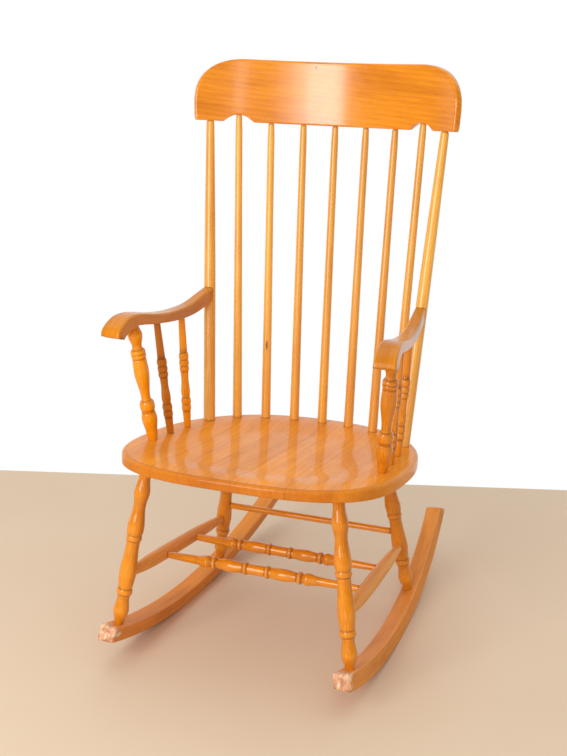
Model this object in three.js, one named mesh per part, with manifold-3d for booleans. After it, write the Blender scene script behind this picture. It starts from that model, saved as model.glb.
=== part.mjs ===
// A wooden rocking chair: a saddled seat on four turned legs, two rockers, a tall back of sticks
// under a bent crest rail, and rolled arms on turned posts.
//
// Lengths are millimetres. The pieces are laid out in the seat's frame: the origin is on the rim
// of the seat, +X is the sitter's left, -Y is the front and +Z is square to the rim. At the end
// the whole chair leans back to the angle at which it balances, and stands on z = 0.

import * as THREE from "three";
import { mergeVertices } from "three/addons/utils/BufferGeometryUtils.js";
import Module from "manifold-3d";

const wasm = await Module();
wasm.setup();

// Seat
const seatWidth = 544;
const seatFront = 268; // from the origin to the front edge
const seatRear = 285; // from the origin to the rear edge
const seatWidest = 40; // the widest line lies this far in front of the origin
const seatThickness = 26;
const seatTopRound = 7;
const seatBottomRound = 4;
const seatDishDepth = 8;
const seatFrontFall = 6; // how far the rim drops at the front edge
const seatFrontFallLength = 190;
const seatFrontCurve = 3; // exponents of the two half outlines: 2 is an ellipse
const seatRearCurve = 2.25;
const seatDishShares = [0.84, 0.76, 0.66, 0.54, 0.36, 0.16]; // rings of the dish, of the outline
const seatDishDepthShares = [0.0, 0.3, 0.78, 0.96, 1.0, 1.0]; // depth at each of those rings
const seatSocketDepth = 19;

// Rockers
const rockerRadius = 1068; // of the underside
const rockerHeight = 30.5;
const rockerWidth = 34.5;
const rockerLeanDegrees = 9; // each is a flat board that leans with the legs; its underside is level
const rockerEdge = 2.5; // small chamfer along the long edges
const seatOverRocker = 386.7; // from the rim of the seat to the lowest line of the rockers
const rockerLowest = 8; // that line lies this far in front of the origin
const rockerFrontOutset = 0.5; // its middle stands this far outside the middle of the front foot
const rockerRearOutset = 4.8; // and of the rear foot
const rockerFrontReach = 250; // arc length from that line to the front end
const rockerRearReach = 560;
const rockerRearSlant = 30; // the underside ends this much later than the top
const rockerFacet = 33; // length of one flat of the underside

// Legs: the tops stand in from the edges of the seat, and the feet splay from them
const legDiameter = 33;
const frontLegInset = 51.3; // from the side edge
const frontLegSetback = 75; // from the front edge
const frontLegSplay = 44.5; // how far the foot stands outside the top
const frontLegRake = 10; // and in front of it
const rearLegInset = 62.2;
const rearLegSetback = 129; // from the rear edge
const rearLegSplay = 49;
const rearLegRake = 76.5; // the rear feet stand behind their tops
const footTenon = 17;
const legTurningShares = [
  // along from the top, diameter, bend, steps
  [0, 0.68],
  [0.055, 0.685, "line", 1],
  [0.15, 0.92, "ease", 3],
  [0.235, 0.71, "ease", 3],
  [0.378, 0.975, "ease", 3],
  [0.422, 0.82, "fall", 2],
  [0.44, 0.93, "rise", 2],
  [0.458, 0.8, "fall", 1],
  [0.48, 0.77, "line", 1],
  [0.685, 1, "ease", 3],
  [0.768, 0.82, "line", 1],
  [0.788, 0.93, "rise", 2],
  [0.806, 0.78, "fall", 1],
  [0.829, 0.71, "line", 1],
  [0.912, 0.9, "ease", 3],
  [1, 0.54, "ease", 3],
];

// Stretchers
const sideStretcherDiameter = 28.5;
const sideStretcherTenon = 15;
const sideStretcherShares = [0.681, 0.675]; // along the legs, at the lowest swell: front, rear
const sideStretcherTurningShares = [
  [0, 0.56],
  [0.25, 0.97, "bow", 3],
  [0.42, 1, "line", 1],
  [0.62, 0.95, "line", 1],
  [1, 0.56, "droop", 3],
];
const crossStretcherDiameter = 26;
const crossStretcherTenon = 10;
const crossStretcherShares = [0.316, 0.645]; // along the side stretchers: front one, rear one
const crossPatternShare = 0.523; // from the left end: the middle of the beads
const halfCrossTurningShares = [
  // from the middle of the beads to an end half the piece away
  [0, 0.78],
  [0.095, 0.78, "line", 1],
  [0.115, 0.97, "rise", 2],
  [0.135, 0.8, "fall", 1],
  [0.28, 0.95, "ease", 2],
  [0.42, 0.74, "ease", 2],
  [0.43, 0.8, "line", 1],
  [0.453, 0.96, "rise", 1],
  [0.472, 0.72, "fall", 1],
  [0.53, 0.97, "ease", 3],
  [0.63, 0.68, "line", 1],
  [1, 0.5, "line", 1],
];
const rearStretcherDiameter = 13.5;
const rearStretcherTenon = 13;
const rearStretcherShare = 0.572; // along the rear legs

// Back
const backPostDiameter = 24.6;
const backPostInset = 26.6; // from the side edge of the seat
const backPostSetback = 148; // from its rear edge
const backPostTurningShares = [
  [0, 1],
  [0.5, 0.96, "line", 1],
  [0.7, 0.87, "line", 1],
  [0.85, 0.765, "line", 1],
  [0.95, 0.7, "line", 1],
  [0.996, 0.66, "line", 1],
  [1, 0.5, "line", 1],
];
const backStickDiameter = 19.8;
const backStickTurningShares = [
  [0, 1],
  [0.3, 0.91, "line", 1],
  [0.7, 0.775, "line", 1],
  [0.95, 0.725, "line", 1],
  [0.996, 0.63, "line", 1],
  [1, 0.5, "line", 1],
];
const backSticksEachSide = 3; // and one in the middle
const backStickInset = 36; // from the rear edge of the seat
const backStickSeatRadius = 320; // of the arc on which the sticks stand
const backStickPostGap = 28; // how much wider the posts stand than the last sticks, on that arc
const crestTenon = 24;

// Crest rail
const crestRise = 618; // from the rim of the seat to the lower edge of the rail
const crestHeight = 126;
const crestThickness = 16;
const crestEdge = 4; // rounding of its long edges
const crestRadius = 470; // of the bend, at the middle of the thickness
const crestBack = 231; // from the origin back to the middle of the rail
const crestHalfLength = 294; // along the bend
const crestLeanDegrees = 1.5;
const crestTuck = 5; // how far the lower corners stand in from the ends
const crestEndRise = 42; // the ends are widest at this height
const crestCorner = 108; // length of the round top corners
const crestCornerCurve = 2.3; // exponent of the round top corners
const crestPostInset = 35; // from the end of the rail to a post
const crestPostGap = 58; // from a post to the last stick
const notchHalfLength = 31;
const notchRise = 14.5;
const crestPlainSteps = 4; // stations of each plain stretch and of a notch
const crestNotchSteps = 7;
const crestPinDiameter = 4;
const crestPinRise = 11;
const crestPinCover = 4; // wood left in front of the pin

// Arms: the centre line of the side view, rear to front
const armFrontSetback = 56; // of the roll, from the front edge of the seat
const armFrontInset = 7.5; // of the roll's middle, from the widest line of the seat
const armHeight = 236; // of the flat middle over the seat rim
const armRearWidth = 20;
const armFrontWidth = 42;
const armEdge = 4.5;
const armEndSetback = 5; // the coped end stops this far in front of the axis of the post
const armRearRise = 30; // of the rear end over the flat middle
const armThickness = 30; // at the rear end
const armLineShares = [
  // along, height over the flat middle, thickness
  [0, 1, 1],
  [0.106, 0.6, 0.96],
  [0.179, 0.34, 0.89],
  [0.266, 0.13, 0.79],
  [0.361, 0.03, 0.73],
  [0.443, -0.01, 0.68],
  [0.538, 0.01, 0.66],
  [0.627, 0.07, 0.69],
  [0.739, 0.2, 0.73],
  [0.824, 0.24, 0.78],
  [0.885, 0.08, 0.9],
  [0.93, -0.2, 0.95],
  [0.961, -0.5, 0.91],
  [0.968, -0.76, 0.78],
];
const armSteps = 18;

// Arm posts and arm sticks
const armPostDiameter = 30.6;
const armPostSetback = 189; // from the front edge of the seat
const armPostInset = 37; // from its side edge
const armPostShare = 0.773; // along the arm
const armPostTurningShares = [
  // along from the arm down to the seat
  [0, 0.66],
  [0.02, 0.66, "line", 1],
  [0.088, 0.92, "ease", 3],
  [0.184, 0.615, "ease", 3],
  [0.208, 0.66, "line", 1],
  [0.238, 0.96, "rise", 2],
  [0.247, 0.88, "line", 1],
  [0.256, 0.95, "line", 1],
  [0.276, 0.93, "line", 1],
  [0.286, 0.83, "line", 1],
  [0.298, 0.9, "line", 1],
  [0.39, 0.97, "line", 1],
  [0.625, 0.59, "ease", 4],
  [0.65, 0.64, "line", 1],
  [0.695, 0.957, "rise", 2],
  [0.73, 0.88, "fall", 1],
  [0.75, 0.82, "line", 1],
  [0.805, 1, "bow", 2],
  [0.934, 0.75, "ease", 3],
  [1, 0.57, "line", 1],
];
const armStickDiameter = 20;
const armStickInsets = [41.8, 40.3]; // from the side edge of the seat: front stick, rear stick
const armStickSpacing = 67; // along the seat, post to stick and stick to stick
const armStickShares = [0.552, 0.294]; // along the arm: front stick, rear stick
const armStickTurningShares = [
  [0, 0.65],
  [0.32, 0.79, "line", 1],
  [0.352, 1, "rise", 2],
  [0.384, 0.8, "fall", 1],
  [0.41, 1, "rise", 1],
  [0.44, 0.8, "fall", 1],
  [0.464, 0.98, "rise", 1],
  [0.485, 0.82, "fall", 1],
  [0.556, 0.74, "line", 1],
  [0.674, 0.92, "ease", 3],
  [0.73, 0.8, "ease", 1],
  [0.759, 1, "rise", 1],
  [0.79, 0.8, "fall", 1],
  [0.82, 0.97, "rise", 1],
  [0.845, 0.83, "fall", 1],
  [1, 0.68, "line", 1],
];
const armTenon = 13;

// Arm screws and their plugs
const screwShank = 4.2;
const screwHead = 8;
const screwHeadThickness = 3;
const screwSeatBehindAxis = 2; // the head bears on the post this far behind its axis
const screwInArm = 27;
const plugDiameter = 9;
const plugProud = 0.4;

// Fits and fineness
const clearance = 0.3; // between a tenon and its socket
const overrun = 12; // how far a cutter runs past the face it cuts
const legSides = 10;
const postSides = 10;
const stickSides = 8;
const socketSides = 8;
const seatSides = 48;
const weld = 1e-4; // points closer than this are one point
const bevelTurns = [0, 90]; // degrees round each corner of a section
const roundTurns = [0, 45, 90];

const radians = THREE.MathUtils.degToRad;
const vec = (x, y, z) => new THREE.Vector3(x, y, z);

// Finishes: a honey varnish over beech, browner on the arms and rockers
const finishes = {
  turned: { color: 0xe2902f, roughness: 0.25 },
  seat: { color: 0xd8883f, roughness: 0.2 },
  crest: { color: 0xe8973a, roughness: 0.25 },
  arm: { color: 0xc9793a, roughness: 0.3 },
  rocker: { color: 0xb8703a, roughness: 0.4 },
  plug: { color: 0xd08a45, roughness: 0.35 },
  steel: { color: 0xa9a9a6, roughness: 0.35, metalness: 0.9 },
};

const chair = new THREE.Group();

function place(name, geometry, finish) {
  const material = new THREE.MeshStandardMaterial({ metalness: 0, ...finishes[finish] });
  const mesh = new THREE.Mesh(geometry, material);
  mesh.name = name;
  mesh.updateMatrix();
  chair.add(mesh);
  return mesh;
}

// Solids and cuts

function toSolid(geometry) {
  const bare = geometry.clone();
  bare.deleteAttribute("normal");
  bare.deleteAttribute("uv");
  const merged = mergeVertices(bare, weld);
  const corners = merged.index.array;
  const triangles = [];
  for (let i = 0; i < corners.length; i += 3) {
    const [a, b, c] = corners.slice(i, i + 3);
    if (a !== b && b !== c && c !== a) triangles.push(a, b, c);
  }
  const vertProperties = new Float32Array(merged.attributes.position.array);
  const triVerts = new Uint32Array(triangles);
  return new wasm.Manifold(new wasm.Mesh({ numProp: 3, vertProperties, triVerts }));
}

function toGeometry(solid) {
  const mesh = solid.getMesh();
  const geometry = new THREE.BufferGeometry();
  geometry.setAttribute("position", new THREE.BufferAttribute(mesh.vertProperties, 3));
  geometry.setIndex(new THREE.BufferAttribute(mesh.triVerts, 1));
  geometry.computeVertexNormals();
  return geometry;
}

// Takes the cutters, given in the chair's frame, out of a placed piece.
function cut(mesh, cutters) {
  const toPiece = mesh.matrix.clone().invert();
  let solid = toSolid(mesh.geometry);
  for (const cutter of cutters) {
    solid = solid.subtract(toSolid(cutter.clone().applyMatrix4(toPiece)));
  }
  mesh.geometry = toGeometry(solid);
}

function signedVolume(position, index) {
  const [a, b, c] = [vec(), vec(), vec()];
  let six = 0;
  for (let i = 0; i < index.length; i += 3) {
    a.fromBufferAttribute(position, index[i]);
    b.fromBufferAttribute(position, index[i + 1]);
    c.fromBufferAttribute(position, index[i + 2]);
    six += a.dot(b.cross(c));
  }
  return six / 6;
}

// A closed body through rings of equal count, with both ends fanned shut about their middles.
// The rings may run either way: the faces are turned outward by the sign of the volume.
function loft(rings) {
  const count = rings[0].length;
  const points = rings.flat();
  const index = [];
  for (let r = 0; r + 1 < rings.length; r++) {
    for (let i = 0; i < count; i++) {
      const near = r * count + i;
      const next = r * count + ((i + 1) % count);
      index.push(near, next, next + count, near, next + count, near + count);
    }
  }
  const middle = ring => ring.reduce((sum, p) => sum.add(p), vec(0, 0, 0)).divideScalar(count);
  const firstMiddle = points.push(middle(rings[0])) - 1;
  const lastMiddle = points.push(middle(rings[rings.length - 1])) - 1;
  const last = (rings.length - 1) * count;
  for (let i = 0; i < count; i++) {
    const next = (i + 1) % count;
    index.push(firstMiddle, next, i, lastMiddle, last + i, last + next);
  }
  const geometry = new THREE.BufferGeometry().setFromPoints(points);
  if (signedVolume(geometry.attributes.position, index) < 0) index.reverse();
  geometry.setIndex(index);
  geometry.computeVertexNormals();
  return geometry;
}

// A rectangle with rounded or bevelled corners about the origin, as [across, up] pairs.
function softSection(width, height, edge, turns) {
  const r = Math.min(edge, width / 3, height / 3);
  const corners = [[1, 1, 0], [-1, 1, 90], [-1, -1, 180], [1, -1, 270]];
  return corners.flatMap(([sideX, sideY, start]) => turns.map(turn => {
    const angle = radians(start + turn);
    return [
      sideX * (width / 2 - r) + r * Math.cos(angle),
      sideY * (height / 2 - r) + r * Math.sin(angle),
    ];
  }));
}

function circle(radius, z, sides) {
  return Array.from({ length: sides }, (_, i) => {
    const angle = 2 * Math.PI * i / sides;
    return vec(radius * Math.cos(angle), radius * Math.sin(angle), z);
  });
}

// A matrix that carries the +Z axis at the origin to the line from one point towards another.
function along(from, to) {
  const turn = new THREE.Quaternion();
  turn.setFromUnitVectors(vec(0, 0, 1), to.clone().sub(from).normalize());
  return new THREE.Matrix4().compose(from, turn, vec(1, 1, 1));
}

// A plain round cutter whose flats, not its corners, stand at the given radius.
function drill(from, to, radius) {
  const length = from.distanceTo(to);
  const outer = radius / Math.cos(Math.PI / socketSides);
  const bit = new THREE.CylinderGeometry(outer, outer, length, socketSides);
  bit.rotateX(Math.PI / 2).translate(0, 0, length / 2);
  return bit.applyMatrix4(along(from, to));
}

// Turned work

// How a profile runs from one station to the next, as [along, across] in shares of the step.
const bends = {
  line: t => [t, t],
  ease: t => [t, (1 - Math.cos(Math.PI * t)) / 2], // level at both ends
  rise: t => [1 - Math.cos(Math.PI * t / 2), Math.sin(Math.PI * t / 2)], // up the side of a bead
  fall: t => [Math.sin(Math.PI * t / 2), 1 - Math.cos(Math.PI * t / 2)], // down its other side
  bow: t => [t, Math.sin(Math.PI * t / 2)],
  droop: t => [t, 1 - Math.cos(Math.PI * t / 2)],
};

// The profile of a turning as [share along, share of the diameter] pairs.
function profileOf(turningShares) {
  const points = [turningShares[0]];
  for (let row = 1; row < turningShares.length; row++) {
    const [alongA, acrossA] = turningShares[row - 1];
    const [alongB, acrossB, bend, steps] = turningShares[row];
    for (let step = 1; step <= steps; step++) {
      const [u, v] = bends[bend](step / steps);
      points.push([alongA + (alongB - alongA) * u, acrossA + (acrossB - acrossA) * v]);
    }
  }
  return points;
}

function diameterAt(turningShares, diameter, share) {
  const points = profileOf(turningShares);
  const next = Math.max(1, points.findIndex(([at]) => at >= share));
  const [atA, acrossA] = points[next - 1];
  const [atB, acrossB] = points[next];
  return diameter * THREE.MathUtils.mapLinear(share, atA, atB, acrossA, acrossB);
}

// A turned piece whose visible stretch runs from one point to another. Its first and last
// diameters go on as round tenons. It comes with the two drills that make their sockets.
function turn(name, finish, shape) {
  const { turningShares, diameter, from, to, tenonFrom, tenonTo, sides } = shape;
  const length = from.distanceTo(to);
  const points = profileOf(turningShares);
  const radiusFrom = points[0][1] * diameter / 2;
  const radiusTo = points[points.length - 1][1] * diameter / 2;
  const stations = points.map(([at, across]) => [at * length, across * diameter / 2]);
  if (tenonFrom > 0) stations.unshift([-tenonFrom, radiusFrom]);
  if (tenonTo > 0) stations.push([length + tenonTo, radiusTo]);
  const mesh = place(name, loft(stations.map(([z, radius]) => circle(radius, z, sides))), finish);
  along(from, to).decompose(mesh.position, mesh.quaternion, mesh.scale);
  mesh.updateMatrix();
  const axis = to.clone().sub(from).normalize();
  const onAxis = distance => from.clone().addScaledVector(axis, distance);
  const socketFrom = drill(onAxis(-tenonFrom - clearance), onAxis(overrun), radiusFrom + clearance);
  const socketTo = drill(
    onAxis(length - overrun), onAxis(length + tenonTo + clearance), radiusTo + clearance);
  return { mesh, onAxis, length, socketFrom, socketTo };
}

const hands = [{ hand: "left", side: 1 }, { hand: "right", side: -1 }];
const onHand = (side, { x, y }, z) => vec(side * x, y, z);

// Seat

function seatRimPoint(angle) {
  const [c, s] = [Math.cos(angle), Math.sin(angle)];
  const curve = s < 0 ? seatFrontCurve : seatRearCurve;
  const reach = s < 0 ? seatFront - seatWidest : seatRear + seatWidest;
  const power = value => Math.sign(value) * Math.abs(value) ** (2 / curve);
  return [seatWidth / 2 * power(c), reach * power(s)]; // y is counted from the widest line
}

function seatHalfWidthAt(y) {
  const curve = y < -seatWidest ? seatFrontCurve : seatRearCurve;
  const reach = y < -seatWidest ? seatFront - seatWidest : seatRear + seatWidest;
  const share = Math.abs(y + seatWidest) / reach;
  return seatWidth / 2 * (1 - share ** curve) ** (1 / curve);
}

function seatRing(inset, share, depth) {
  return Array.from({ length: seatSides }, (_, i) => {
    const [x, y] = seatRimPoint(2 * Math.PI * (i + 0.5) / seatSides);
    const inward = share - inset / Math.hypot(x, y);
    const point = vec(x * inward, y * inward - seatWidest, -depth);
    const past = Math.max(0, -point.y - (seatFront - seatFrontFallLength)) / seatFrontFallLength;
    if (depth < seatThickness / 2) point.z -= seatFrontFall * past * past;
    return point;
  });
}

function seatGeometry() {
  const quarter = [90, 45, 0].map(radians);
  const bottom = quarter.map(a => seatRing(
    seatBottomRound * (1 - Math.cos(a)), 1,
    seatThickness - seatBottomRound * (1 - Math.sin(a))));
  const top = [...quarter].reverse().map(a => seatRing(
    seatTopRound * (1 - Math.cos(a)), 1, seatTopRound * (1 - Math.sin(a))));
  const dish = seatDishShares.map((share, i) => seatRing(
    0, share, seatDishDepth * seatDishDepthShares[i]));
  return loft([...bottom, ...top, ...dish]);
}

// Places that follow from the edges of the seat

const inFromEdge = (y, inset) => ({ x: seatHalfWidthAt(y) - inset, y });
const frontLegTop = inFromEdge(frontLegSetback - seatFront, frontLegInset);
const frontLegFoot = { x: frontLegTop.x + frontLegSplay, y: frontLegTop.y - frontLegRake };
const rearLegTop = inFromEdge(seatRear - rearLegSetback, rearLegInset);
const rearLegFoot = { x: rearLegTop.x + rearLegSplay, y: rearLegTop.y + rearLegRake };
const backPostSeat = inFromEdge(seatRear - backPostSetback, backPostInset);
const crestPostReach = crestHalfLength - crestPostInset;
const crestStickSpacing = (crestPostReach - crestPostGap) / backSticksEachSide;
const backStickSeatSpacing = (backPostSeat.x - backStickPostGap) / backSticksEachSide;

// Rockers and legs

const rockerCentre = { y: -rockerLowest, z: rockerRadius - seatOverRocker };

function onRocker(y, radius) {
  const offset = y - rockerCentre.y;
  return rockerCentre.z - Math.sqrt(radius * radius - offset * offset);
}

// The middle plane of a rocker: it leans, and it passes through the two feet at mid height.
function rockerX(y, z) {
  const betweenFeet = (front, rear) => THREE.MathUtils.mapLinear(
    y, frontLegFoot.y, rearLegFoot.y, front, rear);
  const middleHeight = foot => onRocker(foot.y, rockerRadius - rockerHeight / 2);
  const x = betweenFeet(frontLegFoot.x + rockerFrontOutset, rearLegFoot.x + rockerRearOutset);
  const level = betweenFeet(middleHeight(frontLegFoot), middleHeight(rearLegFoot));
  return x - (z - level) * Math.tan(radians(rockerLeanDegrees));
}

// The angles, about the centre of the arc, at which the underside breaks from flat to flat.
// One flat is centred on the line at which the chair rests.
function rockerBreaks(restAngle) {
  const step = rockerFacet / rockerRadius;
  const front = -rockerFrontReach / rockerRadius;
  const last = (rockerRearReach - rockerRearSlant) / rockerRadius;
  const breaks = [];
  for (let angle = restAngle - step / 2; angle > front + step / 2; angle -= step) {
    breaks.unshift(angle);
  }
  for (let angle = restAngle + step / 2; angle < last; angle += step) breaks.push(angle);
  return [front, ...breaks, rockerRearReach / rockerRadius];
}

function rockerGeometry(side, restAngle) {
  const breaks = rockerBreaks(restAngle);
  const rear = breaks[breaks.length - 1];
  const middleRadius = rockerRadius - rockerHeight / 2;
  const lean = Math.tan(radians(rockerLeanDegrees));
  const section = softSection(rockerWidth, rockerHeight, rockerEdge, bevelTurns);
  return loft(breaks.map(angle => section.map(([across, up]) => {
    const slant = angle === rear ? -up / rockerHeight * rockerRearSlant / rockerRadius : 0;
    const radius = middleRadius - up - Math.max(0, Math.sign(up)) * across * lean;
    const y = rockerCentre.y + radius * Math.sin(angle + slant);
    const z = rockerCentre.z - radius * Math.cos(angle + slant);
    return vec(side * (rockerX(y, z) + across), y, z);
  })));
}

function makeLeg(name, side, top, foot) {
  const footZ = onRocker(foot.y, rockerRadius - rockerHeight);
  return turn(name, "turned", {
    turningShares: legTurningShares,
    diameter: legDiameter,
    from: onHand(side, top, -seatThickness),
    to: onHand(side, foot, footZ),
    tenonFrom: seatSocketDepth - clearance,
    tenonTo: footTenon,
    sides: legSides,
  });
}

// A stretcher between two axes: it comes out of the wood at each one's radius.
function makeStretcher(name, turningShares, diameter, ends, radii, tenon) {
  const axis = ends[1].clone().sub(ends[0]).normalize();
  return turn(name, "turned", {
    turningShares,
    diameter,
    from: ends[0].clone().addScaledVector(axis, radii[0]),
    to: ends[1].clone().addScaledVector(axis, -radii[1]),
    tenonFrom: tenon,
    tenonTo: tenon,
    sides: stickSides,
  });
}

// A half profile mirrored into a whole one, about a middle at the given share of the length.
// Only the plain tapers at its two ends stretch or shrink to reach the ends of the piece.
function mirrored(halfShares, middleShare) {
  const half = profileOf(halfShares);
  const whole = [
    ...half.slice(0, -1).map(([at, across]) => [middleShare - at / 2, across]).reverse(),
    ...half.slice(1, -1).map(([at, across]) => [middleShare + at / 2, across]),
  ];
  const end = half[half.length - 1][1];
  return [
    [0, end],
    ...whole.map(([at, across]) => [at, across, "line", 1]),
    [1, end, "line", 1],
  ];
}

// Crest rail

// A point of the rail: distance along its bend, height over its lower edge, offset to the rear.
function onCrest(bend, rise, offset = 0) {
  const angle = bend / crestRadius;
  const centreY = crestBack - crestRadius;
  return vec(
    (crestRadius + offset) * Math.sin(angle),
    centreY + (crestRadius + offset) * Math.cos(angle) + rise * Math.tan(radians(crestLeanDegrees)),
    crestRise + rise);
}

function crestTopAt(bend) {
  const into = Math.max(0, Math.abs(bend) - (crestHalfLength - crestCorner)) / crestCorner;
  const drop = 1 - (1 - into ** crestCornerCurve) ** (1 / crestCornerCurve);
  return crestHeight - (crestHeight - crestEndRise) * drop;
}

function crestBottomAt(bend) {
  const reach = Math.abs(bend);
  const fromNotch = (reach - backSticksEachSide * crestStickSpacing) / notchHalfLength;
  const notch = notchRise * Math.max(0, 1 - fromNotch * fromNotch);
  const past = Math.max(0, reach - (crestHalfLength - crestTuck)) / crestTuck;
  return notch + crestEndRise * (1 - Math.sqrt(Math.max(0, 1 - past * past)));
}

function crestGeometry() {
  const notchAt = backSticksEachSide * crestStickSpacing;
  const spread = (low, high, steps) => Array.from(
    { length: steps }, (_, i) => low + (high - low) * i / steps);
  const tuckAt = crestHalfLength - crestTuck;
  const lastShares = [0.5, 0.85, 0.99];
  const half = [
    ...spread(0, notchAt - notchHalfLength, crestPlainSteps),
    ...spread(notchAt - notchHalfLength, notchAt + notchHalfLength, crestNotchSteps),
    ...spread(notchAt + notchHalfLength, tuckAt, crestPlainSteps),
    tuckAt,
    ...lastShares.map(share => tuckAt + share * crestTuck),
  ];
  const stations = [...half.slice(1).reverse().map(bend => -bend), ...half];
  return loft(stations.map(bend => {
    const [low, high] = [crestBottomAt(bend), crestTopAt(bend)];
    return softSection(crestThickness, high - low, crestEdge, bevelTurns)
      .map(([across, up]) => onCrest(bend, (low + high) / 2 + up, across));
  }));
}

// Back sticks and posts

function makeBackStick(number) {
  const angle = number * backStickSeatSpacing / backStickSeatRadius;
  const centreY = seatRear - backStickInset - backStickSeatRadius;
  const bend = number * crestStickSpacing;
  return turn(`back_stick_${number + backSticksEachSide + 1}`, "turned", {
    turningShares: backStickTurningShares,
    diameter: backStickDiameter,
    from: vec(
      backStickSeatRadius * Math.sin(angle), centreY + backStickSeatRadius * Math.cos(angle), 0),
    to: onCrest(bend, crestBottomAt(bend)),
    tenonFrom: seatSocketDepth - clearance,
    tenonTo: crestTenon,
    sides: stickSides,
  });
}

function makeBackPost(hand, side) {
  return turn(`back_post_${hand}`, "turned", {
    turningShares: backPostTurningShares,
    diameter: backPostDiameter,
    from: onHand(side, backPostSeat, 0),
    to: onCrest(side * crestPostReach, 0),
    tenonFrom: seatSocketDepth - clearance,
    tenonTo: crestTenon,
    sides: postSides,
  });
}

function makeCrestPin(hand, side) {
  const bend = side * crestPostReach;
  const back = onCrest(bend, crestPinRise, crestThickness / 2);
  const front = onCrest(bend, crestPinRise, crestPinCover - crestThickness / 2);
  return turn(`crest_pin_${hand}`, "plug", {
    turningShares: [[0, 1], [1, 1, "line", 1]],
    diameter: crestPinDiameter,
    from: back,
    to: front,
    tenonFrom: 0,
    tenonTo: 0,
    sides: stickSides,
  });
}

// Arms

// Everything about one arm that its neighbours need: its centre line, its sections and its end.
function armLine(side, post) {
  const postAt = post.onAxis(post.length * (armHeight + armRearRise) / crestRise);
  const rearY = postAt.y - armEndSetback;
  const armLength = rearY + seatFront - armFrontSetback;
  const frontX = side * (seatWidth / 2 - armFrontInset);
  const curve = new THREE.CatmullRomCurve3(armLineShares.map(([at, rise]) => vec(
    THREE.MathUtils.lerp(postAt.x, frontX, at),
    rearY - at * armLength,
    armHeight + rise * armRearRise)));
  const sideways = vec(armLength, frontX - postAt.x, 0).normalize();
  const stationAt = share => {
    const next = armLineShares.findIndex(([at]) => at >= share);
    const [a, b] = [armLineShares[next - 1], armLineShares[next]];
    return (next - 1 + (share - a[0]) / (b[0] - a[0])) / (armLineShares.length - 1);
  };
  const sectionAt = t => {
    const centre = curve.getPoint(t);
    const up = sideways.clone().cross(curve.getTangent(t)).normalize().multiplyScalar(-1);
    const station = t * (armLineShares.length - 1);
    const row = Math.min(Math.floor(station), armLineShares.length - 2);
    const thickness = armThickness * THREE.MathUtils.lerp(
      armLineShares[row][2], armLineShares[row + 1][2], station - row);
    const width = THREE.MathUtils.mapLinear(
      centre.y, rearY, rearY - armLength, armRearWidth, armFrontWidth);
    return { centre, up, thickness, width };
  };
  const underside = share => {
    const { centre, up, thickness } = sectionAt(stationAt(share));
    return centre.addScaledVector(up, -thickness / 2);
  };
  return { sideways, sectionAt, underside, postAt, rearY, armLength };
}

function armGeometry(line) {
  const rings = Array.from({ length: armSteps + 1 }, (_, i) => {
    const { centre, up, thickness, width } = line.sectionAt(i / armSteps);
    return softSection(width, thickness, armEdge, roundTurns).map(([across, rise]) => centre.clone()
      .addScaledVector(line.sideways, across)
      .addScaledVector(up, rise));
  });
  return loft(rings);
}

// The end of the arm is trimmed upright and coped to the round post.
function armEndCutters(line, post) {
  const reach = line.armLength / 2;
  const trim = new THREE.BoxGeometry(reach, reach, reach);
  trim.translate(line.postAt.x, line.rearY + reach / 2, line.postAt.z);
  const [lowShare, highShare] = [-armThickness, armThickness].map(
    rise => (line.postAt.z + rise) / crestRise);
  const postRadius = diameterAt(backPostTurningShares, backPostDiameter, lowShare) / 2;
  const low = post.onAxis(post.length * lowShare);
  const high = post.onAxis(post.length * highShare);
  return [trim, drill(low, high, postRadius + clearance)];
}

function makeArmSupport(name, side, line, spec) {
  return turn(name, "turned", {
    turningShares: spec.turningShares,
    diameter: spec.diameter,
    from: line.underside(spec.share),
    to: onHand(side, inFromEdge(spec.y, spec.inset), 0),
    tenonFrom: armTenon,
    tenonTo: seatSocketDepth - clearance,
    sides: spec.sides,
  });
}

// Arm screws and plugs

function armScrewAxis(line) {
  const forward = vec(line.sideways.y, -line.sideways.x, 0);
  return distance => line.postAt.clone().addScaledVector(forward, distance);
}

function makeArmScrew(hand, onScrew) {
  const headShare = screwHeadThickness / (screwHeadThickness + screwSeatBehindAxis + screwInArm);
  return turn(`arm_screw_${hand}`, "steel", {
    turningShares: [
      [0, 1],
      [headShare, 1, "line", 1],
      [headShare, screwShank / screwHead, "line", 1],
      [1, screwShank / screwHead, "line", 1],
    ],
    diameter: screwHead,
    from: onScrew(-screwSeatBehindAxis - screwHeadThickness),
    to: onScrew(screwInArm),
    tenonFrom: 0,
    tenonTo: 0,
    sides: stickSides,
  });
}

function makeScrewPlug(hand, onScrew, postRadius) {
  return turn(`screw_plug_${hand}`, "plug", {
    turningShares: [[0, 1], [1, 1, "line", 1]],
    diameter: plugDiameter - 2 * clearance,
    from: onScrew(-postRadius - plugProud),
    to: onScrew(-screwSeatBehindAxis - screwHeadThickness - clearance),
    tenonFrom: 0,
    tenonTo: 0,
    sides: stickSides,
  });
}

// Assembly

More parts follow.
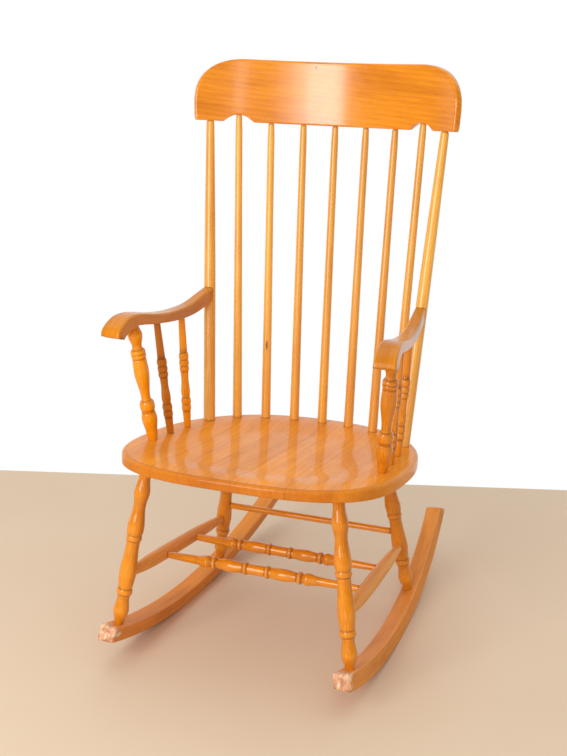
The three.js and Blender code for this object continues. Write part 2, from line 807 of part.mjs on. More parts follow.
function buildChair(restAngle) {
  chair.clear();
  const seat = place("seat", seatGeometry(), "seat");
  const crest = place("crest_rail", crestGeometry(), "crest");
  const seatCutters = [];
  const crestCutters = [];

  for (let number = -backSticksEachSide; number <= backSticksEachSide; number++) {
    const stick = makeBackStick(number);
    seatCutters.push(stick.socketFrom);
    crestCutters.push(stick.socketTo);
  }

  const sideStretchers = [];
  const rearLegs = [];
  for (const { hand, side } of hands) {
    const frontLeg = makeLeg(`leg_front_${hand}`, side, frontLegTop, frontLegFoot);
    const rearLeg = makeLeg(`leg_rear_${hand}`, side, rearLegTop, rearLegFoot);
    const rocker = place(`rocker_${hand}`, rockerGeometry(side, restAngle), "rocker");
    cut(rocker, [frontLeg.socketTo, rearLeg.socketTo]);
    seatCutters.push(frontLeg.socketFrom, rearLeg.socketFrom);

    const stretcher = makeStretcher(
      `side_stretcher_${hand}`, sideStretcherTurningShares, sideStretcherDiameter,
      [frontLeg, rearLeg].map((leg, i) => leg.onAxis(leg.length * sideStretcherShares[i])),
      sideStretcherShares.map(share => diameterAt(legTurningShares, legDiameter, share) / 2),
      sideStretcherTenon);
    cut(frontLeg.mesh, [stretcher.socketFrom]);
    sideStretchers.push(stretcher);
    rearLegs.push({ ...rearLeg, cutters: [stretcher.socketTo] });

    const post = makeBackPost(hand, side);
    seatCutters.push(post.socketFrom);
    crestCutters.push(post.socketTo);
    const pin = makeCrestPin(hand, side);
    crestCutters.push(pin.socketFrom, pin.socketTo);

    const line = armLine(side, post);
    const arm = place(`arm_${hand}`, armGeometry(line), "arm");
    const onScrew = armScrewAxis(line);
    const postRadius = diameterAt(
      backPostTurningShares, backPostDiameter, line.postAt.z / crestRise) / 2;
    makeArmScrew(hand, onScrew);
    makeScrewPlug(hand, onScrew, postRadius);
    const headHole = drill(
      onScrew(clearance - screwSeatBehindAxis), onScrew(-postRadius - overrun), plugDiameter / 2);
    const shankHole = drill(
      onScrew(-screwSeatBehindAxis - clearance), onScrew(screwInArm + clearance),
      screwShank / 2 + clearance);
    cut(post.mesh, [headHole, shankHole, pin.socketFrom, pin.socketTo]);

    const postY = armPostSetback - seatFront;
    const supports = [
      { name: `arm_post_${hand}`, turningShares: armPostTurningShares, diameter: armPostDiameter,
        y: postY, inset: armPostInset, share: armPostShare, sides: postSides },
      ...["front", "rear"].map((row, i) => ({
        name: `arm_stick_${row}_${hand}`, turningShares: armStickTurningShares,
        diameter: armStickDiameter, y: postY + (i + 1) * armStickSpacing, inset: armStickInsets[i],
        share: armStickShares[i], sides: stickSides })),
    ].map(spec => makeArmSupport(spec.name, side, line, spec));
    seatCutters.push(...supports.map(support => support.socketTo));
    const armCutters = supports.map(support => support.socketFrom);
    cut(arm, [...armEndCutters(line, post), shankHole, ...armCutters]);
  }

  const stretcherCutters = [[], []];
  ["front", "rear"].forEach((row, i) => {
    const share = crossStretcherShares[i];
    const radius = diameterAt(sideStretcherTurningShares, sideStretcherDiameter, share) / 2;
    const cross = makeStretcher(
      `cross_stretcher_${row}`, mirrored(halfCrossTurningShares, crossPatternShare),
      crossStretcherDiameter,
      sideStretchers.map(stretcher => stretcher.onAxis(stretcher.length * share)),
      [radius, radius], crossStretcherTenon);
    stretcherCutters[0].push(cross.socketFrom);
    stretcherCutters[1].push(cross.socketTo);
  });
  sideStretchers.forEach((stretcher, i) => cut(stretcher.mesh, stretcherCutters[i]));

  const legRadius = diameterAt(legTurningShares, legDiameter, rearStretcherShare) / 2;
  const rearStretcher = makeStretcher(
    "rear_stretcher", [[0, 1], [1, 1, "line", 1]], rearStretcherDiameter,
    rearLegs.map(leg => leg.onAxis(leg.length * rearStretcherShare)),
    [legRadius, legRadius], rearStretcherTenon);
  cut(rearLegs[0].mesh, [...rearLegs[0].cutters, rearStretcher.socketFrom]);
  cut(rearLegs[1].mesh, [...rearLegs[1].cutters, rearStretcher.socketTo]);

  cut(seat, seatCutters);
  cut(crest, crestCutters);
}

// Balance

// The centre of mass of all the pieces, as if all were of one density.
function centreOfMass() {
  const [a, b, c] = [vec(), vec(), vec()];
  const moment = vec(0, 0, 0);
  let six = 0;
  for (const mesh of chair.children) {
    const position = mesh.geometry.attributes.position;
    const index = mesh.geometry.index.array;
    for (let i = 0; i < index.length; i += 3) {
      [a, b, c].forEach((p, k) => p.fromBufferAttribute(position, index[i + k])
        .applyMatrix4(mesh.matrix));
      const volume = a.dot(b.clone().cross(c));
      six += volume;
      moment.addScaledVector(a.add(b).add(c), volume / 4);
    }
  }
  return moment.divideScalar(six);
}

// The chair rests where its centre of mass hangs straight below the centre of the rockers' arc.
function balanceAngle() {
  const mass = centreOfMass();
  return Math.atan2(mass.y - rockerCentre.y, rockerCentre.z - mass.z);
}

buildChair(0);
const restAngle = balanceAngle();
buildChair(restAngle);

const standing = new THREE.Group();
standing.add(chair);
chair.rotation.x = -restAngle;
chair.updateMatrix();
standing.updateMatrixWorld(true);
const box = new THREE.Box3().setFromObject(standing, true);
const middle = box.getCenter(vec());
chair.position.set(-middle.x, -middle.y, -box.min.z);
standing.updateMatrixWorld(true);

export default standing;
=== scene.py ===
# %% [markdown]
# # A rocking chair of turned wood under honey varnish
#
# A workshop packed this chair as thirty-six separate solids, each made of few flat faces. They
# are sound, but a solid for checking is made of few flat faces. In this lesson each piece is
# built again on the same lines with fine, smooth faces, and then the wood gets its rings,
# fibres, varnish and wear.

import math
import random

import bmesh
import bpy
from mathutils import Matrix, Vector


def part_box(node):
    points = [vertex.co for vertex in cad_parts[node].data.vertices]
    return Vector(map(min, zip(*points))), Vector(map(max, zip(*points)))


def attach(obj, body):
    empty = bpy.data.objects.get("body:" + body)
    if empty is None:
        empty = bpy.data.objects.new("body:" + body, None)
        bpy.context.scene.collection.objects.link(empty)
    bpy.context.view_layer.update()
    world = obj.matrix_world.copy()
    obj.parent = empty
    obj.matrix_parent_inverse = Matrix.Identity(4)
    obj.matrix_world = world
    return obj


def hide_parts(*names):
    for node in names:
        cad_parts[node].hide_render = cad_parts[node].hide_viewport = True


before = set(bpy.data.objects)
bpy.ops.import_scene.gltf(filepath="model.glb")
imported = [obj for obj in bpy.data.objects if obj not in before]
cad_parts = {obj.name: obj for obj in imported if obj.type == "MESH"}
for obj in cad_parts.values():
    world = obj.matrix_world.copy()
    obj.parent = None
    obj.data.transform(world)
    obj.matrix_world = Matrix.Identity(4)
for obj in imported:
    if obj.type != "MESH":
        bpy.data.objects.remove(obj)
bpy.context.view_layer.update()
print("packed pieces:", len(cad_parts))

# %% [markdown]
# ## Measuring from the seat
#
# A chairmaker measures from the seat: how far a leg stands in from its edge, how high the arm
# lies over it. The lengths could be taken from the standing chair, but it leans, and the lean
# would be mixed into every one of them. So they are millimetres from the rim of the seat, with
# +X to the sitter's left, -Y to the front and +Z square to the seat.

# %% The outline of the seat
MM = 0.001
SEAT_WIDTH = 544
SEAT_FRONT = 268
SEAT_REAR = 285
SEAT_WIDEST = 40
SEAT_THICKNESS = 26
SEAT_FRONT_CURVE = 3
SEAT_REAR_CURVE = 2.25


def seat_half_width_at(y):
    """Two half ovals meet on the widest line. A curve of 2 would make them ellipses."""
    curve = SEAT_FRONT_CURVE if y < -SEAT_WIDEST else SEAT_REAR_CURVE
    reach = SEAT_FRONT - SEAT_WIDEST if y < -SEAT_WIDEST else SEAT_REAR + SEAT_WIDEST
    share = abs(y + SEAT_WIDEST) / reach
    return SEAT_WIDTH / 2 * (1 - share ** curve) ** (1 / curve)


def in_from_edge(y, inset):
    return seat_half_width_at(y) - inset, y


print("half width of the seat at its middle, mm:", round(seat_half_width_at(0), 1))

# %% The ends of the legs
LEG_DIAMETER = 33
FRONT_LEG_INSET = 51.3
FRONT_LEG_SETBACK = 75
FRONT_LEG_SPLAY = 44.5
FRONT_LEG_RAKE = 10
REAR_LEG_INSET = 62.2
REAR_LEG_SETBACK = 129
REAR_LEG_SPLAY = 49
REAR_LEG_RAKE = 76.5

ROCKER_RADIUS = 1068
ROCKER_HEIGHT = 30.5
SEAT_OVER_ROCKER = 386.7
ROCKER_LOWEST = 8
ROCKER_CENTRE_RISE = ROCKER_RADIUS - SEAT_OVER_ROCKER


def on_rocker(y, radius):
    return ROCKER_CENTRE_RISE - math.sqrt(radius ** 2 - (y + ROCKER_LOWEST) ** 2)


def leg_ends(side, top, splay, rake):
    """The top at the underside of the seat, and the foot on the top of the rocker."""
    foot_y = top[1] + rake
    foot_z = on_rocker(foot_y, ROCKER_RADIUS - ROCKER_HEIGHT)
    return (
        Vector((side * top[0], top[1], -SEAT_THICKNESS)),
        Vector((side * (top[0] + splay), foot_y, foot_z)),
    )


FRONT_LEG_TOP = in_from_edge(FRONT_LEG_SETBACK - SEAT_FRONT, FRONT_LEG_INSET)
REAR_LEG_TOP = in_from_edge(SEAT_REAR - REAR_LEG_SETBACK, REAR_LEG_INSET)
HANDS = (("left", 1), ("right", -1))


def front_leg(side):
    return leg_ends(side, FRONT_LEG_TOP, FRONT_LEG_SPLAY, -FRONT_LEG_RAKE)


def rear_leg(side):
    return leg_ends(side, REAR_LEG_TOP, REAR_LEG_SPLAY, REAR_LEG_RAKE)


print("front leg top to foot, mm:", round((front_leg(1)[1] - front_leg(1)[0]).length, 1))

# %% The bend of the crest rail
CREST_RISE = 618
CREST_HEIGHT = 126
CREST_THICKNESS = 16
CREST_RADIUS = 470
CREST_BACK = 231
CREST_HALF_LENGTH = 294
CREST_LEAN_DEGREES = 1.5
CREST_POST_INSET = 35
CREST_PIN_RISE = 11
CREST_PIN_COVER = 4
CREST_LEAN = math.tan(math.radians(CREST_LEAN_DEGREES))
CREST_POST_REACH = CREST_HALF_LENGTH - CREST_POST_INSET


def on_crest(bend, rise, offset=0.0):
    """Distance along the bend, height over the lower edge, and offset to the rear."""
    angle = bend / CREST_RADIUS
    radius = CREST_RADIUS + offset
    y = CREST_BACK - CREST_RADIUS + radius * math.cos(angle) + rise * CREST_LEAN
    return Vector((radius * math.sin(angle), y, CREST_RISE + rise))


print("end of the crest rail from the middle, mm:", round(on_crest(CREST_HALF_LENGTH, 0).x, 1))

# %% [markdown]
# ## How the chair stands
#
# The standing chair leans back to where it balances on its rockers. That lean could be guessed
# from the height of the whole chair, but a box touches other points as the chair tips. Two sorts
# of small pieces have middles that are known exactly in both frames, the rear stretcher and the
# pins behind the crest rail. The line between them gives the lean, and the stretcher the place.

# %% Find how the chair stands
REAR_STRETCHER_SHARE = 0.572


def middle_of(node):
    low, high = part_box(node)
    return (low + high) / 2


def lean_angle(vector):
    return math.atan2(vector.y, vector.z)


pin_middle = on_crest(CREST_POST_REACH, CREST_PIN_RISE, CREST_PIN_COVER / 2)
pin_middle.x = 0
rear_ends = rear_leg(1)
stretcher_middle = rear_ends[0].lerp(rear_ends[1], REAR_STRETCHER_SHARE)
stretcher_middle.x = 0
pins = (middle_of("crest_pin_left") + middle_of("crest_pin_right")) / 2
rear_bar = middle_of("rear_stretcher")
lean = lean_angle(pins - rear_bar) - lean_angle(pin_middle - stretcher_middle)
turn_back = Matrix.Rotation(-lean, 4, "X") @ Matrix.Scale(MM, 4)
STAND = Matrix.Translation(rear_bar - turn_back @ stretcher_middle) @ turn_back
print("the seat's frame leans back by degrees:", round(math.degrees(lean), 3))

# %% [markdown]
# ## The camera
#
# The camera comes before any looks, because the looks are made to be seen from its place. It
# stands in front of the chair and to the sitter's left, a little higher than the crest rail, and
# looks down. It could be set by eye, but its place was worked out from the chair itself, so it is
# given in the seat's frame too and leans back together with the chair.

# %% Set the camera
CAMERA_PLACE = Vector((877.31, -2305.88, 610.99))
CAMERA_AZIMUTH = 20.785
CAMERA_ELEVATION = 10.891
CAMERA_ROLL = 2.803
CAMERA_LENS = 61.905


def set_camera():
    azimuth = math.radians(CAMERA_AZIMUTH)
    down = math.radians(CAMERA_ELEVATION)
    ahead = Vector((
        -math.sin(azimuth) * math.cos(down),
        math.cos(azimuth) * math.cos(down),
        -math.sin(down),
    ))
    sideways = Vector((math.cos(azimuth), math.sin(azimuth), 0))
    upward = sideways.cross(ahead)
    turn = Matrix((sideways, upward, -ahead)).transposed().to_4x4()
    roll = Matrix.Rotation(math.radians(CAMERA_ROLL), 4, "Z")
    camera = bpy.data.objects.new("camera", bpy.data.cameras.new("camera"))
    camera.data.lens = CAMERA_LENS
    leaning_back = Matrix.Rotation(-lean, 4, "X")
    camera.matrix_world = Matrix.Translation(STAND @ CAMERA_PLACE) @ leaning_back @ turn @ roll
    bpy.context.scene.collection.objects.link(camera)
    bpy.context.scene.camera = camera


set_camera()
bpy.context.scene.view_settings.view_transform = "Standard"
print("camera over the floor, m:", round((STAND @ CAMERA_PLACE).z, 3))

# %% [markdown]
# ## Skins and what they remember
#
# The pieces could be made from ready cylinders and then pushed into shape. Here each one is a run
# of rings with faces between them, the way a lathe or a spokeshave works along a stick, because
# then every outline follows the maker's own marks. Each point also keeps what the finishes read
# later: where it lay in the sawn block, which carries the grain, how much it is an edge that gets
# rubbed, how much it is darkened, partly by stain and dirt and partly as painted shade in creases
# and joints, and how far the varnish has been knocked off.
# A last mark is the same all over a piece. It makes one stick a little darker than the next, as
# sticks from different boards are.

# %% A point and its marks
rng = random.Random(7)
BLOCK_LENGTH = 900
HEART_NEAR = 35
HEART_FAR = 70


class Spot:
    """A point of a skin, with its place in the sawn block, in mm along, across and deep."""

    def __init__(self, place, grain, edge=0.0, stain_and_shade=0.0, bare=0.0):
        self.place = place
        self.grain = grain
        self.edge = edge
        self.stain_and_shade = stain_and_shade
        self.bare = bare


def block_place():
    """Where a piece was sawn out of its tree: how far along it and how far from its heart."""
    return Vector((
        rng.uniform(0, BLOCK_LENGTH),
        rng.uniform(HEART_NEAR, HEART_FAR),
        rng.uniform(HEART_NEAR, HEART_FAR),
    ))


print("blocks are sawn from a tree this long, mm:", BLOCK_LENGTH)

# %% Rows of points and the faces between them
SPOT_MARKS = ("edge", "stain_and_shade", "bare")


def lay_rows(work, rings, block, tone):
    """Puts the points of each ring in place and gives them their marks."""
    grain_layer = work.verts.layers.float_vector.new("grain")
    mark_layers = {name: work.verts.layers.float.new(name) for name in (*SPOT_MARKS, "tone")}
    rows = []
    for ring in rings:
        row = []
        for spot in ring:
            vert = work.verts.new(STAND @ spot.place)
            vert[grain_layer] = (block + spot.grain) * MM
            vert[mark_layers["tone"]] = tone
            for name in SPOT_MARKS:
                vert[mark_layers[name]] = getattr(spot, name)
            row.append(vert)
        rows.append(row)
    return rows


def join_rows(work, rows, closed):
    """Faces from each row to the next, and one face over each end if it is closed."""
    for near, far in zip(rows, rows[1:]):
        for i in range(len(near)):
            j = (i + 1) % len(near)
            work.faces.new((near[i], near[j], far[j], far[i]))
    if closed:
        work.faces.new(rows[0])
        work.faces.new(rows[-1])
    for face in work.faces:
        face.smooth = True
    bmesh.ops.recalc_face_normals(work, faces=work.faces)


print("marks that each point keeps: grain, tone,", ", ".join(SPOT_MARKS))

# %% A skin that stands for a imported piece
def skin(name, rings, node, material, closed=True):
    """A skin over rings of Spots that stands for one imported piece."""
    block = block_place()
    tone = rng.random()
    work = bmesh.new()
    join_rows(work, lay_rows(work, rings, block, tone), closed)
    mesh = bpy.data.meshes.new(name)
    work.to_mesh(mesh)
    work.free()
    mesh.materials.append(material)
    piece = bpy.data.objects.new(name, mesh)
    bpy.context.scene.collection.objects.link(piece)
    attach(piece, "root")
    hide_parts(node)
    return piece


print("the first packed piece that a skin can stand for:", sorted(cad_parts)[0])

# %% [markdown]
# ## Rounded edges
#
# No edge of this chair is sharp: a hand plane or sandpaper has taken each one off. A bevel
# modifier could do it, but a ring of its own at each step of the round also carries the mark of a
# rubbed edge. A quarter of a circle, told in shares of its radius, serves the seat, the crest
# rail, the rockers and the arms.

# %% A quarter of a rounded edge
QUARTER_TURN = 90


def quarter_round(step_degrees):
    """From the side of a piece to its face: how far in, how far down, and how much an edge."""
    angles = [math.radians(turn) for turn in range(0, QUARTER_TURN + 1, step_degrees)]
    return [(1 - math.cos(a), 1 - math.sin(a), math.sin(2 * a)) for a in angles]


ROUND_STEP = 15
print("rings round a long edge:", len(quarter_round(ROUND_STEP)))

# %% [markdown]
# ## Tools for materials
#
# Wood is built from shader nodes, and a finish has about fifty of them. Wiring each by hand would
# hide the recipe, so a few small helpers do what repeats: one adds a node, one mixes two colours,
# one does a sum, one maps a value onto another range and one reads a mark off the skin.

# %% Node helpers
MIX_COLOUR_SOCKETS = (0, 6, 7)
MIX_COLOUR_OUT = 2


def add_node(tree, kind, inputs=None, **settings):
    node = tree.nodes.new(kind)
    for key, value in settings.items():
        setattr(node, key, value)
    for key, value in (inputs or {}).items():
        if isinstance(value, bpy.types.NodeSocket):
            tree.links.new(value, node.inputs[key])
        else:
            node.inputs[key].default_value = value
    return node


def blend_colours(tree, amount, first, second):
    """Mixes two colours. The mix node has its colour sockets after those for plain numbers."""
    inputs = dict(zip(MIX_COLOUR_SOCKETS, (amount, first, second)))
    return add_node(tree, "ShaderNodeMix", inputs, data_type="RGBA").outputs[MIX_COLOUR_OUT]


def sum_of(tree, operation, first, second=0.0):
    node = add_node(tree, "ShaderNodeMath", {0: first, 1: second}, operation=operation)
    return node.outputs[0]


def spread(tree, value, low, high, to_low=0.0, to_high=1.0):
    """Maps a value between two limits onto two others, and holds it there."""
    node = add_node(tree, "ShaderNodeMapRange", {
        "Value": value, "From Min": low, "From Max": high, "To Min": to_low, "To Max": to_high})
    return node.outputs["Result"]


def attribute(tree, name):
    return add_node(tree, "ShaderNodeAttribute", attribute_name=name)


def new_material(name):
    material = bpy.data.materials.new(name)
    material.use_nodes = True
    return material, material.node_tree


print("sockets for the amount and both colours of a mix:", MIX_COLOUR_SOCKETS)

# %% Colours as a picture editor shows them
SCREEN_TOP = 255
SCREEN_KNEE = 0.04045
SCREEN_SLOPE = 12.92
SCREEN_OFFSET = 0.055
SCREEN_POWER = 2.4


def straight(level):
    """One channel of a screen colour, 0 to 255, in the shader's own scale of light."""
    share = level / SCREEN_TOP
    if share <= SCREEN_KNEE:
        return share / SCREEN_SLOPE
    return ((share + SCREEN_OFFSET) / (1 + SCREEN_OFFSET)) ** SCREEN_POWER


def colour(red, green, blue):
    return straight(red), straight(green), straight(blue), 1.0


print("honey in the shader's scale:", [round(part, 3) for part in colour(248, 156, 36)])

# %% [markdown]
# ## What differs from one wood to the next
#
# All the wood of this chair is made by one recipe with other amounts, as one tin of varnish looks
# different on each board. A separate recipe for each piece would be freer, but then the chair
# would fall apart into strangers. So the amounts are gathered in one place: three colours, the
# width of the rings and fibres in mm, how strongly each layer shows, and the gloss.

# %% The amounts of a wood
class WoodLook:
    """Amounts that most of the chair shares. A finish changes only what differs."""

    ring = 3.2
    ring_share = 0.2
    fibre = 2.0
    fibre_share = 0.4
    tone_share = 0.35
    piece_share = 0.0
    edge_share = 0.12
    stain_and_shade_share = 0.6
    roughness = 0.34
    specular = 0.2
    coat = 0.6
    coat_roughness = 0.1
    bump = 0.12

    def __init__(self, pale, dark, rubbed, **changes):
        self.pale = pale
        self.dark = dark
        self.rubbed = rubbed
        for name, value in changes.items():
            setattr(self, name, value)


print("usual width of a ring, mm:", WoodLook.ring)

# %% [markdown]
# ## Rings and fibres
#
# A tree grows a pale and then a darker layer each year, so a block of wood is full of nested
# shells. Wherever a tool cuts through them they show as stripes along a stick, and as loops on a
# swell. A picture of wood wrapped round a leg would show neither. The material copies the tree: a
# wave of rings about its heart line, stretched along the grain and pulled about by noise, read at
# each point's place in the sawn block. Over it lie short fibres and slow patches of tone.

# %% Patterns in the block
RING_STRETCH = 0.05
FIBRE_STRETCH = 0.022
TONE_STRETCH = 0.16
WAVE_RING = 0.314
RING_WANDER = {"Distortion": 9.0, "Detail": 2.0, "Detail Scale": 0.35, "Detail Roughness": 0.5}
SOFT_DETAIL = 3.0
FINE_DETAIL = 4.0
PLAIN_ROUGHNESS = 0.55


def stretched(tree, grain, along_share, deep_share=1.0):
    """The place in the block with the along direction drawn out."""
    return add_node(tree, "ShaderNodeMapping", {
        "Vector": grain, "Scale": (along_share, 1.0, deep_share)}).outputs[0]


def growth_rings(tree, grain, ring):
    wave = add_node(tree, "ShaderNodeTexWave", {
        "Vector": stretched(tree, grain, RING_STRETCH),
        "Scale": WAVE_RING / (ring * MM),
        **RING_WANDER,
    }, wave_type="RINGS", rings_direction="X", wave_profile="SAW")
    return wave.outputs["Fac"]


def noise(tree, vector, scale, detail=SOFT_DETAIL, roughness=PLAIN_ROUGHNESS):
    return add_node(tree, "ShaderNodeTexNoise", {
        "Vector": vector, "Scale": scale, "Detail": detail, "Roughness": roughness}).outputs[0]


print("scale of the wave for the usual rings:", round(WAVE_RING / (WoodLook.ring * MM), 1))

# %% The colour of clean wood
RING_RANGE = (0.35, 1.0)
STREAK_RANGE = (0.46, 0.74)
STREAK_ROUGHNESS = 0.62
TONE_SCALE = 26.0
TONE_RANGE = (0.42, 0.66)
FIBRE_SCALE = 1500.0


def wood_colour(tree, grain, look):
    """The varnished wood's colour and the fine fibres, which the bump also uses."""
    rings = spread(tree, growth_rings(tree, grain, look.ring), *RING_RANGE)
    wood = blend_colours(
        tree, sum_of(tree, "MULTIPLY", rings, look.ring_share), look.pale, look.dark)
    along_fibres = stretched(tree, grain, FIBRE_STRETCH)
    streaks = noise(tree, along_fibres, 1 / (look.fibre * MM), FINE_DETAIL, STREAK_ROUGHNESS)
    streak_amount = spread(tree, streaks, *STREAK_RANGE, 0.0, look.fibre_share)
    wood = blend_colours(tree, streak_amount, wood, look.dark)
    tone = noise(tree, stretched(tree, grain, TONE_STRETCH), TONE_SCALE)
    tone_amount = spread(tree, tone, *TONE_RANGE, 0.0, look.tone_share)
    wood = blend_colours(tree, tone_amount, wood, look.dark)
    own_tone = attribute(tree, "tone").outputs["Fac"]
    wood = blend_colours(
        tree, sum_of(tree, "MULTIPLY", own_tone, look.piece_share), wood, look.dark)
    return wood, noise(tree, along_fibres, FIBRE_SCALE)


print("scale of the noise for the usual streaks:", round(1 / (WoodLook.fibre * MM)))

# %% [markdown]
# ## Wear and painted shade
#
# Varnish gathers dark in the hollows beside a bead, dirt gathers in the joints, and hands rub the
# edges pale. The dark in creases and joints is partly painted shade. A real restorer brushes this
# on by eye. Here the marks on the skin say where, and a noise makes the rubbing uneven.

# %% Painted shade and dirt in hollows, and rubbed edges
PATCH_SCALE = 160.0
PATCH_RANGE = (0.35, 0.65)
PATCH_LEAST_SHARE = 0.35
# The colour of hollows and joints, partly dirt and partly painted shade, as shares of dark wood.
DIRT_AND_SHADE_SHARES = (0.55, 0.28, 0.2)


# Darkens creases, joints and end grain with stain, dirt and painted shade, and rubs edges pale.
def weathered_and_shaded(tree, wood, look, grain):
    stain_and_shade = attribute(tree, "stain_and_shade").outputs["Fac"]
    edge = attribute(tree, "edge").outputs["Fac"]
    patchy = spread(tree, noise(tree, grain, PATCH_SCALE), *PATCH_RANGE, PATCH_LEAST_SHARE, 1.0)
    stain_and_shade_amount = sum_of(tree, "MULTIPLY", stain_and_shade, look.stain_and_shade_share)
    edge_amount = sum_of(
        tree, "MULTIPLY", sum_of(tree, "MULTIPLY", edge, patchy), look.edge_share)
    dirt_and_shade = [part * share for part, share in zip(look.dark, DIRT_AND_SHADE_SHARES)]
    wood = blend_colours(tree, stain_and_shade_amount, wood, (*dirt_and_shade, 1.0))
    return blend_colours(tree, edge_amount, wood, look.rubbed)


print("dirt keeps these shares of the red, green and blue of dark wood:", DIRT_AND_SHADE_SHARES)

# %% [markdown]
# ## Chips
#
# The front ends of the rockers have been knocked for years. There the varnish is gone down to raw,
# splintered wood with brown bruises. Cutting each splinter into the mesh would cost more points
# than the whole chair, so the mesh is only rounded there, and the skin's bare mark is set against
# a ragged noise: where it wins, raw wood shows.

# %% Raw wood where the varnish is gone
RAW_WOOD = colour(242, 210, 178)
RAW_SHADE = colour(216, 158, 120)
BRUISED_WOOD = colour(170, 100, 56)
RAGGED_STRETCH = 0.5
RAGGED_SCALE = 80.0
RAGGED_ROUGHNESS = 0.65
CHIP_RANGE = (-0.03, 0.03)
BRUISE_SCALE = 55.0
BRUISE_RANGE = (0.5, 0.62)
BRUISE_SHARE = 0.7
SPLINTER_STRETCH = (0.3, 0.4)
SPLINTER_SCALE = 190.0
SPLINTER_ROUGHNESS = 0.7
SPLINTER_RANGE = (0.46, 0.6)


def chipped(tree, wood, grain):
    bare = attribute(tree, "bare").outputs["Fac"]
    ragged = noise(tree, stretched(tree, grain, RAGGED_STRETCH),
                   RAGGED_SCALE, FINE_DETAIL, RAGGED_ROUGHNESS)
    amount = spread(tree, sum_of(tree, "SUBTRACT", bare, ragged), *CHIP_RANGE)
    bruises = spread(tree, noise(tree, grain, BRUISE_SCALE), *BRUISE_RANGE, 0.0, BRUISE_SHARE)
    strokes = noise(tree, stretched(tree, grain, *SPLINTER_STRETCH),
                    SPLINTER_SCALE, FINE_DETAIL, SPLINTER_ROUGHNESS)
    raw = blend_colours(tree, spread(tree, strokes, *SPLINTER_RANGE), RAW_SHADE, RAW_WOOD)
    raw = blend_colours(tree, bruises, raw, BRUISED_WOOD)
    return blend_colours(tree, amount, wood, raw)


print("raw wood in the shader's scale:", [round(part, 3) for part in RAW_WOOD])

# %% [markdown]
# ## Knots
#
# Where a branch grew, a dark round spot is left in the board. This chair shows two small ones.
# Noise would scatter knots at random, and these have their places, so each is a stretched ball
# round a place in the seat's frame that darkens whatever wood it reaches.

# %% A knot at a given place
KNOT = colour(96, 44, 10)
KNOT_RANGE = (0.4, 1.0)
KNOT_SHARE = 0.9


def with_knot(tree, wood, place, reach):
    """A small dark knot at a place in the seat's frame, reaching so far in mm along x, y and z."""
    here = add_node(tree, "ShaderNodeTexCoord").outputs["Object"]
    apart = add_node(tree, "ShaderNodeVectorMath", {0: here, 1: STAND @ place},
                     operation="SUBTRACT").outputs[0]
    shares = add_node(tree, "ShaderNodeMapping", {
        "Vector": apart, "Scale": [1 / (size * MM) for size in reach]}).outputs[0]
    far = add_node(tree, "ShaderNodeVectorMath", {0: shares}, operation="LENGTH").outputs["Value"]
    return blend_colours(tree, spread(tree, far, *KNOT_RANGE, KNOT_SHARE, 0.0), wood, KNOT)


print("a knot covers the wood by at most:", KNOT_SHARE)

# %% [markdown]
# ## Varnish
#
# The gloss of this chair is a clear layer over the wood. A shiny wood colour alone would look like
# plastic. The shader has a coat for this: the wood below stays nearly dull, and the coat mirrors
# the windows. Old varnish is smeared and the fibres still show through it, so its roughness
# wavers and a slight bump follows the grain.

# %% The clear coat
SMEAR_SCALE = 55.0
SMEAR_RANGE = (0.3, 0.7)
SMEAR_GLOSSIER = 0.06
SMEAR_DULLER = 0.08
FIBRE_HEIGHT = 0.0004


def varnish(tree, wood, fibres, grain, look):
    smears = noise(tree, grain, SMEAR_SCALE, FINE_DETAIL)
    roughness = spread(tree, smears, *SMEAR_RANGE,
                       look.roughness - SMEAR_GLOSSIER, look.roughness + SMEAR_DULLER)
    bump = add_node(tree, "ShaderNodeBump", {
        "Height": fibres, "Strength": look.bump, "Distance": FIBRE_HEIGHT})
    shader = tree.nodes["Principled BSDF"]
    tree.links.new(wood, shader.inputs["Base Color"])
    tree.links.new(roughness, shader.inputs["Roughness"])
    tree.links.new(bump.outputs[0], shader.inputs["Normal"])
    shader.inputs["Specular IOR Level"].default_value = look.specular
    shader.inputs["Coat Weight"].default_value = look.coat
    shader.inputs["Coat Roughness"].default_value = look.coat_roughness


print("the fibres stand up by mm:", FIBRE_HEIGHT / MM)

# %% [markdown]
# ## The order of the layers
#
# A real chair gets its layers over many years. Each material could be wired by hand in any order,
# but a layer covers what lies below it. So one function goes from clean wood up: boards and glue
# lines where there are any, knots, dirt with painted shade and rubbing, and chips. The coat comes
# last, because it belongs to the shader and not to the colour.

# %% The whole recipe
def varnished_wood(name, look, knots=(), boards=None):
    """Clean wood, then knots, wear with painted shade, and chips, and the varnish over all."""
    material, tree = new_material(name)
    grain = attribute(tree, "grain").outputs["Vector"]
    if boards:
        board_tone, seam, grain = boards(tree, grain)
    wood, fibres = wood_colour(tree, grain, look)
    if boards:
        wood = blend_colours(tree, board_tone, wood, look.dark)
        wood = blend_colours(tree, seam, wood, KNOT)
    for place, reach in knots:
        wood = with_knot(tree, wood, place, reach)
    wood = weathered_and_shaded(tree, wood, look, grain)
    wood = chipped(tree, wood, grain)
    varnish(tree, wood, fibres, grain, look)
    print(name, "has nodes:", len(tree.nodes))
    return material


print("materials in the file before the first finish:", len(bpy.data.materials))

# %% [markdown]
# ## Turning
#
# Legs, sticks and stretchers came off a lathe. A turner works from a pattern: at such a share of
# the length, such a share of the thickness. Each outline could be drawn point by point, but
# between two marks it only ever does one of a few things. It runs straight, eases from level to
# level, or climbs and falls round a bead. These few bends draw every turning on this chair.

# %% The turner's bends
BENDS = {
    "line": lambda t: (t, t),
    "ease": lambda t: (t, (1 - math.cos(math.pi * t)) / 2),
    "rise": lambda t: (1 - math.cos(math.pi * t / 2), math.sin(math.pi * t / 2)),
    "fall": lambda t: (math.sin(math.pi * t / 2), 1 - math.cos(math.pi * t / 2)),
    "bow": lambda t: (t, math.sin(math.pi * t / 2)),
    "droop": lambda t: (t, 1 - math.cos(math.pi * t / 2)),
}
FINEST_CUT = 1.6
FEWEST_CUTS = 2
MOST_CUTS = 12


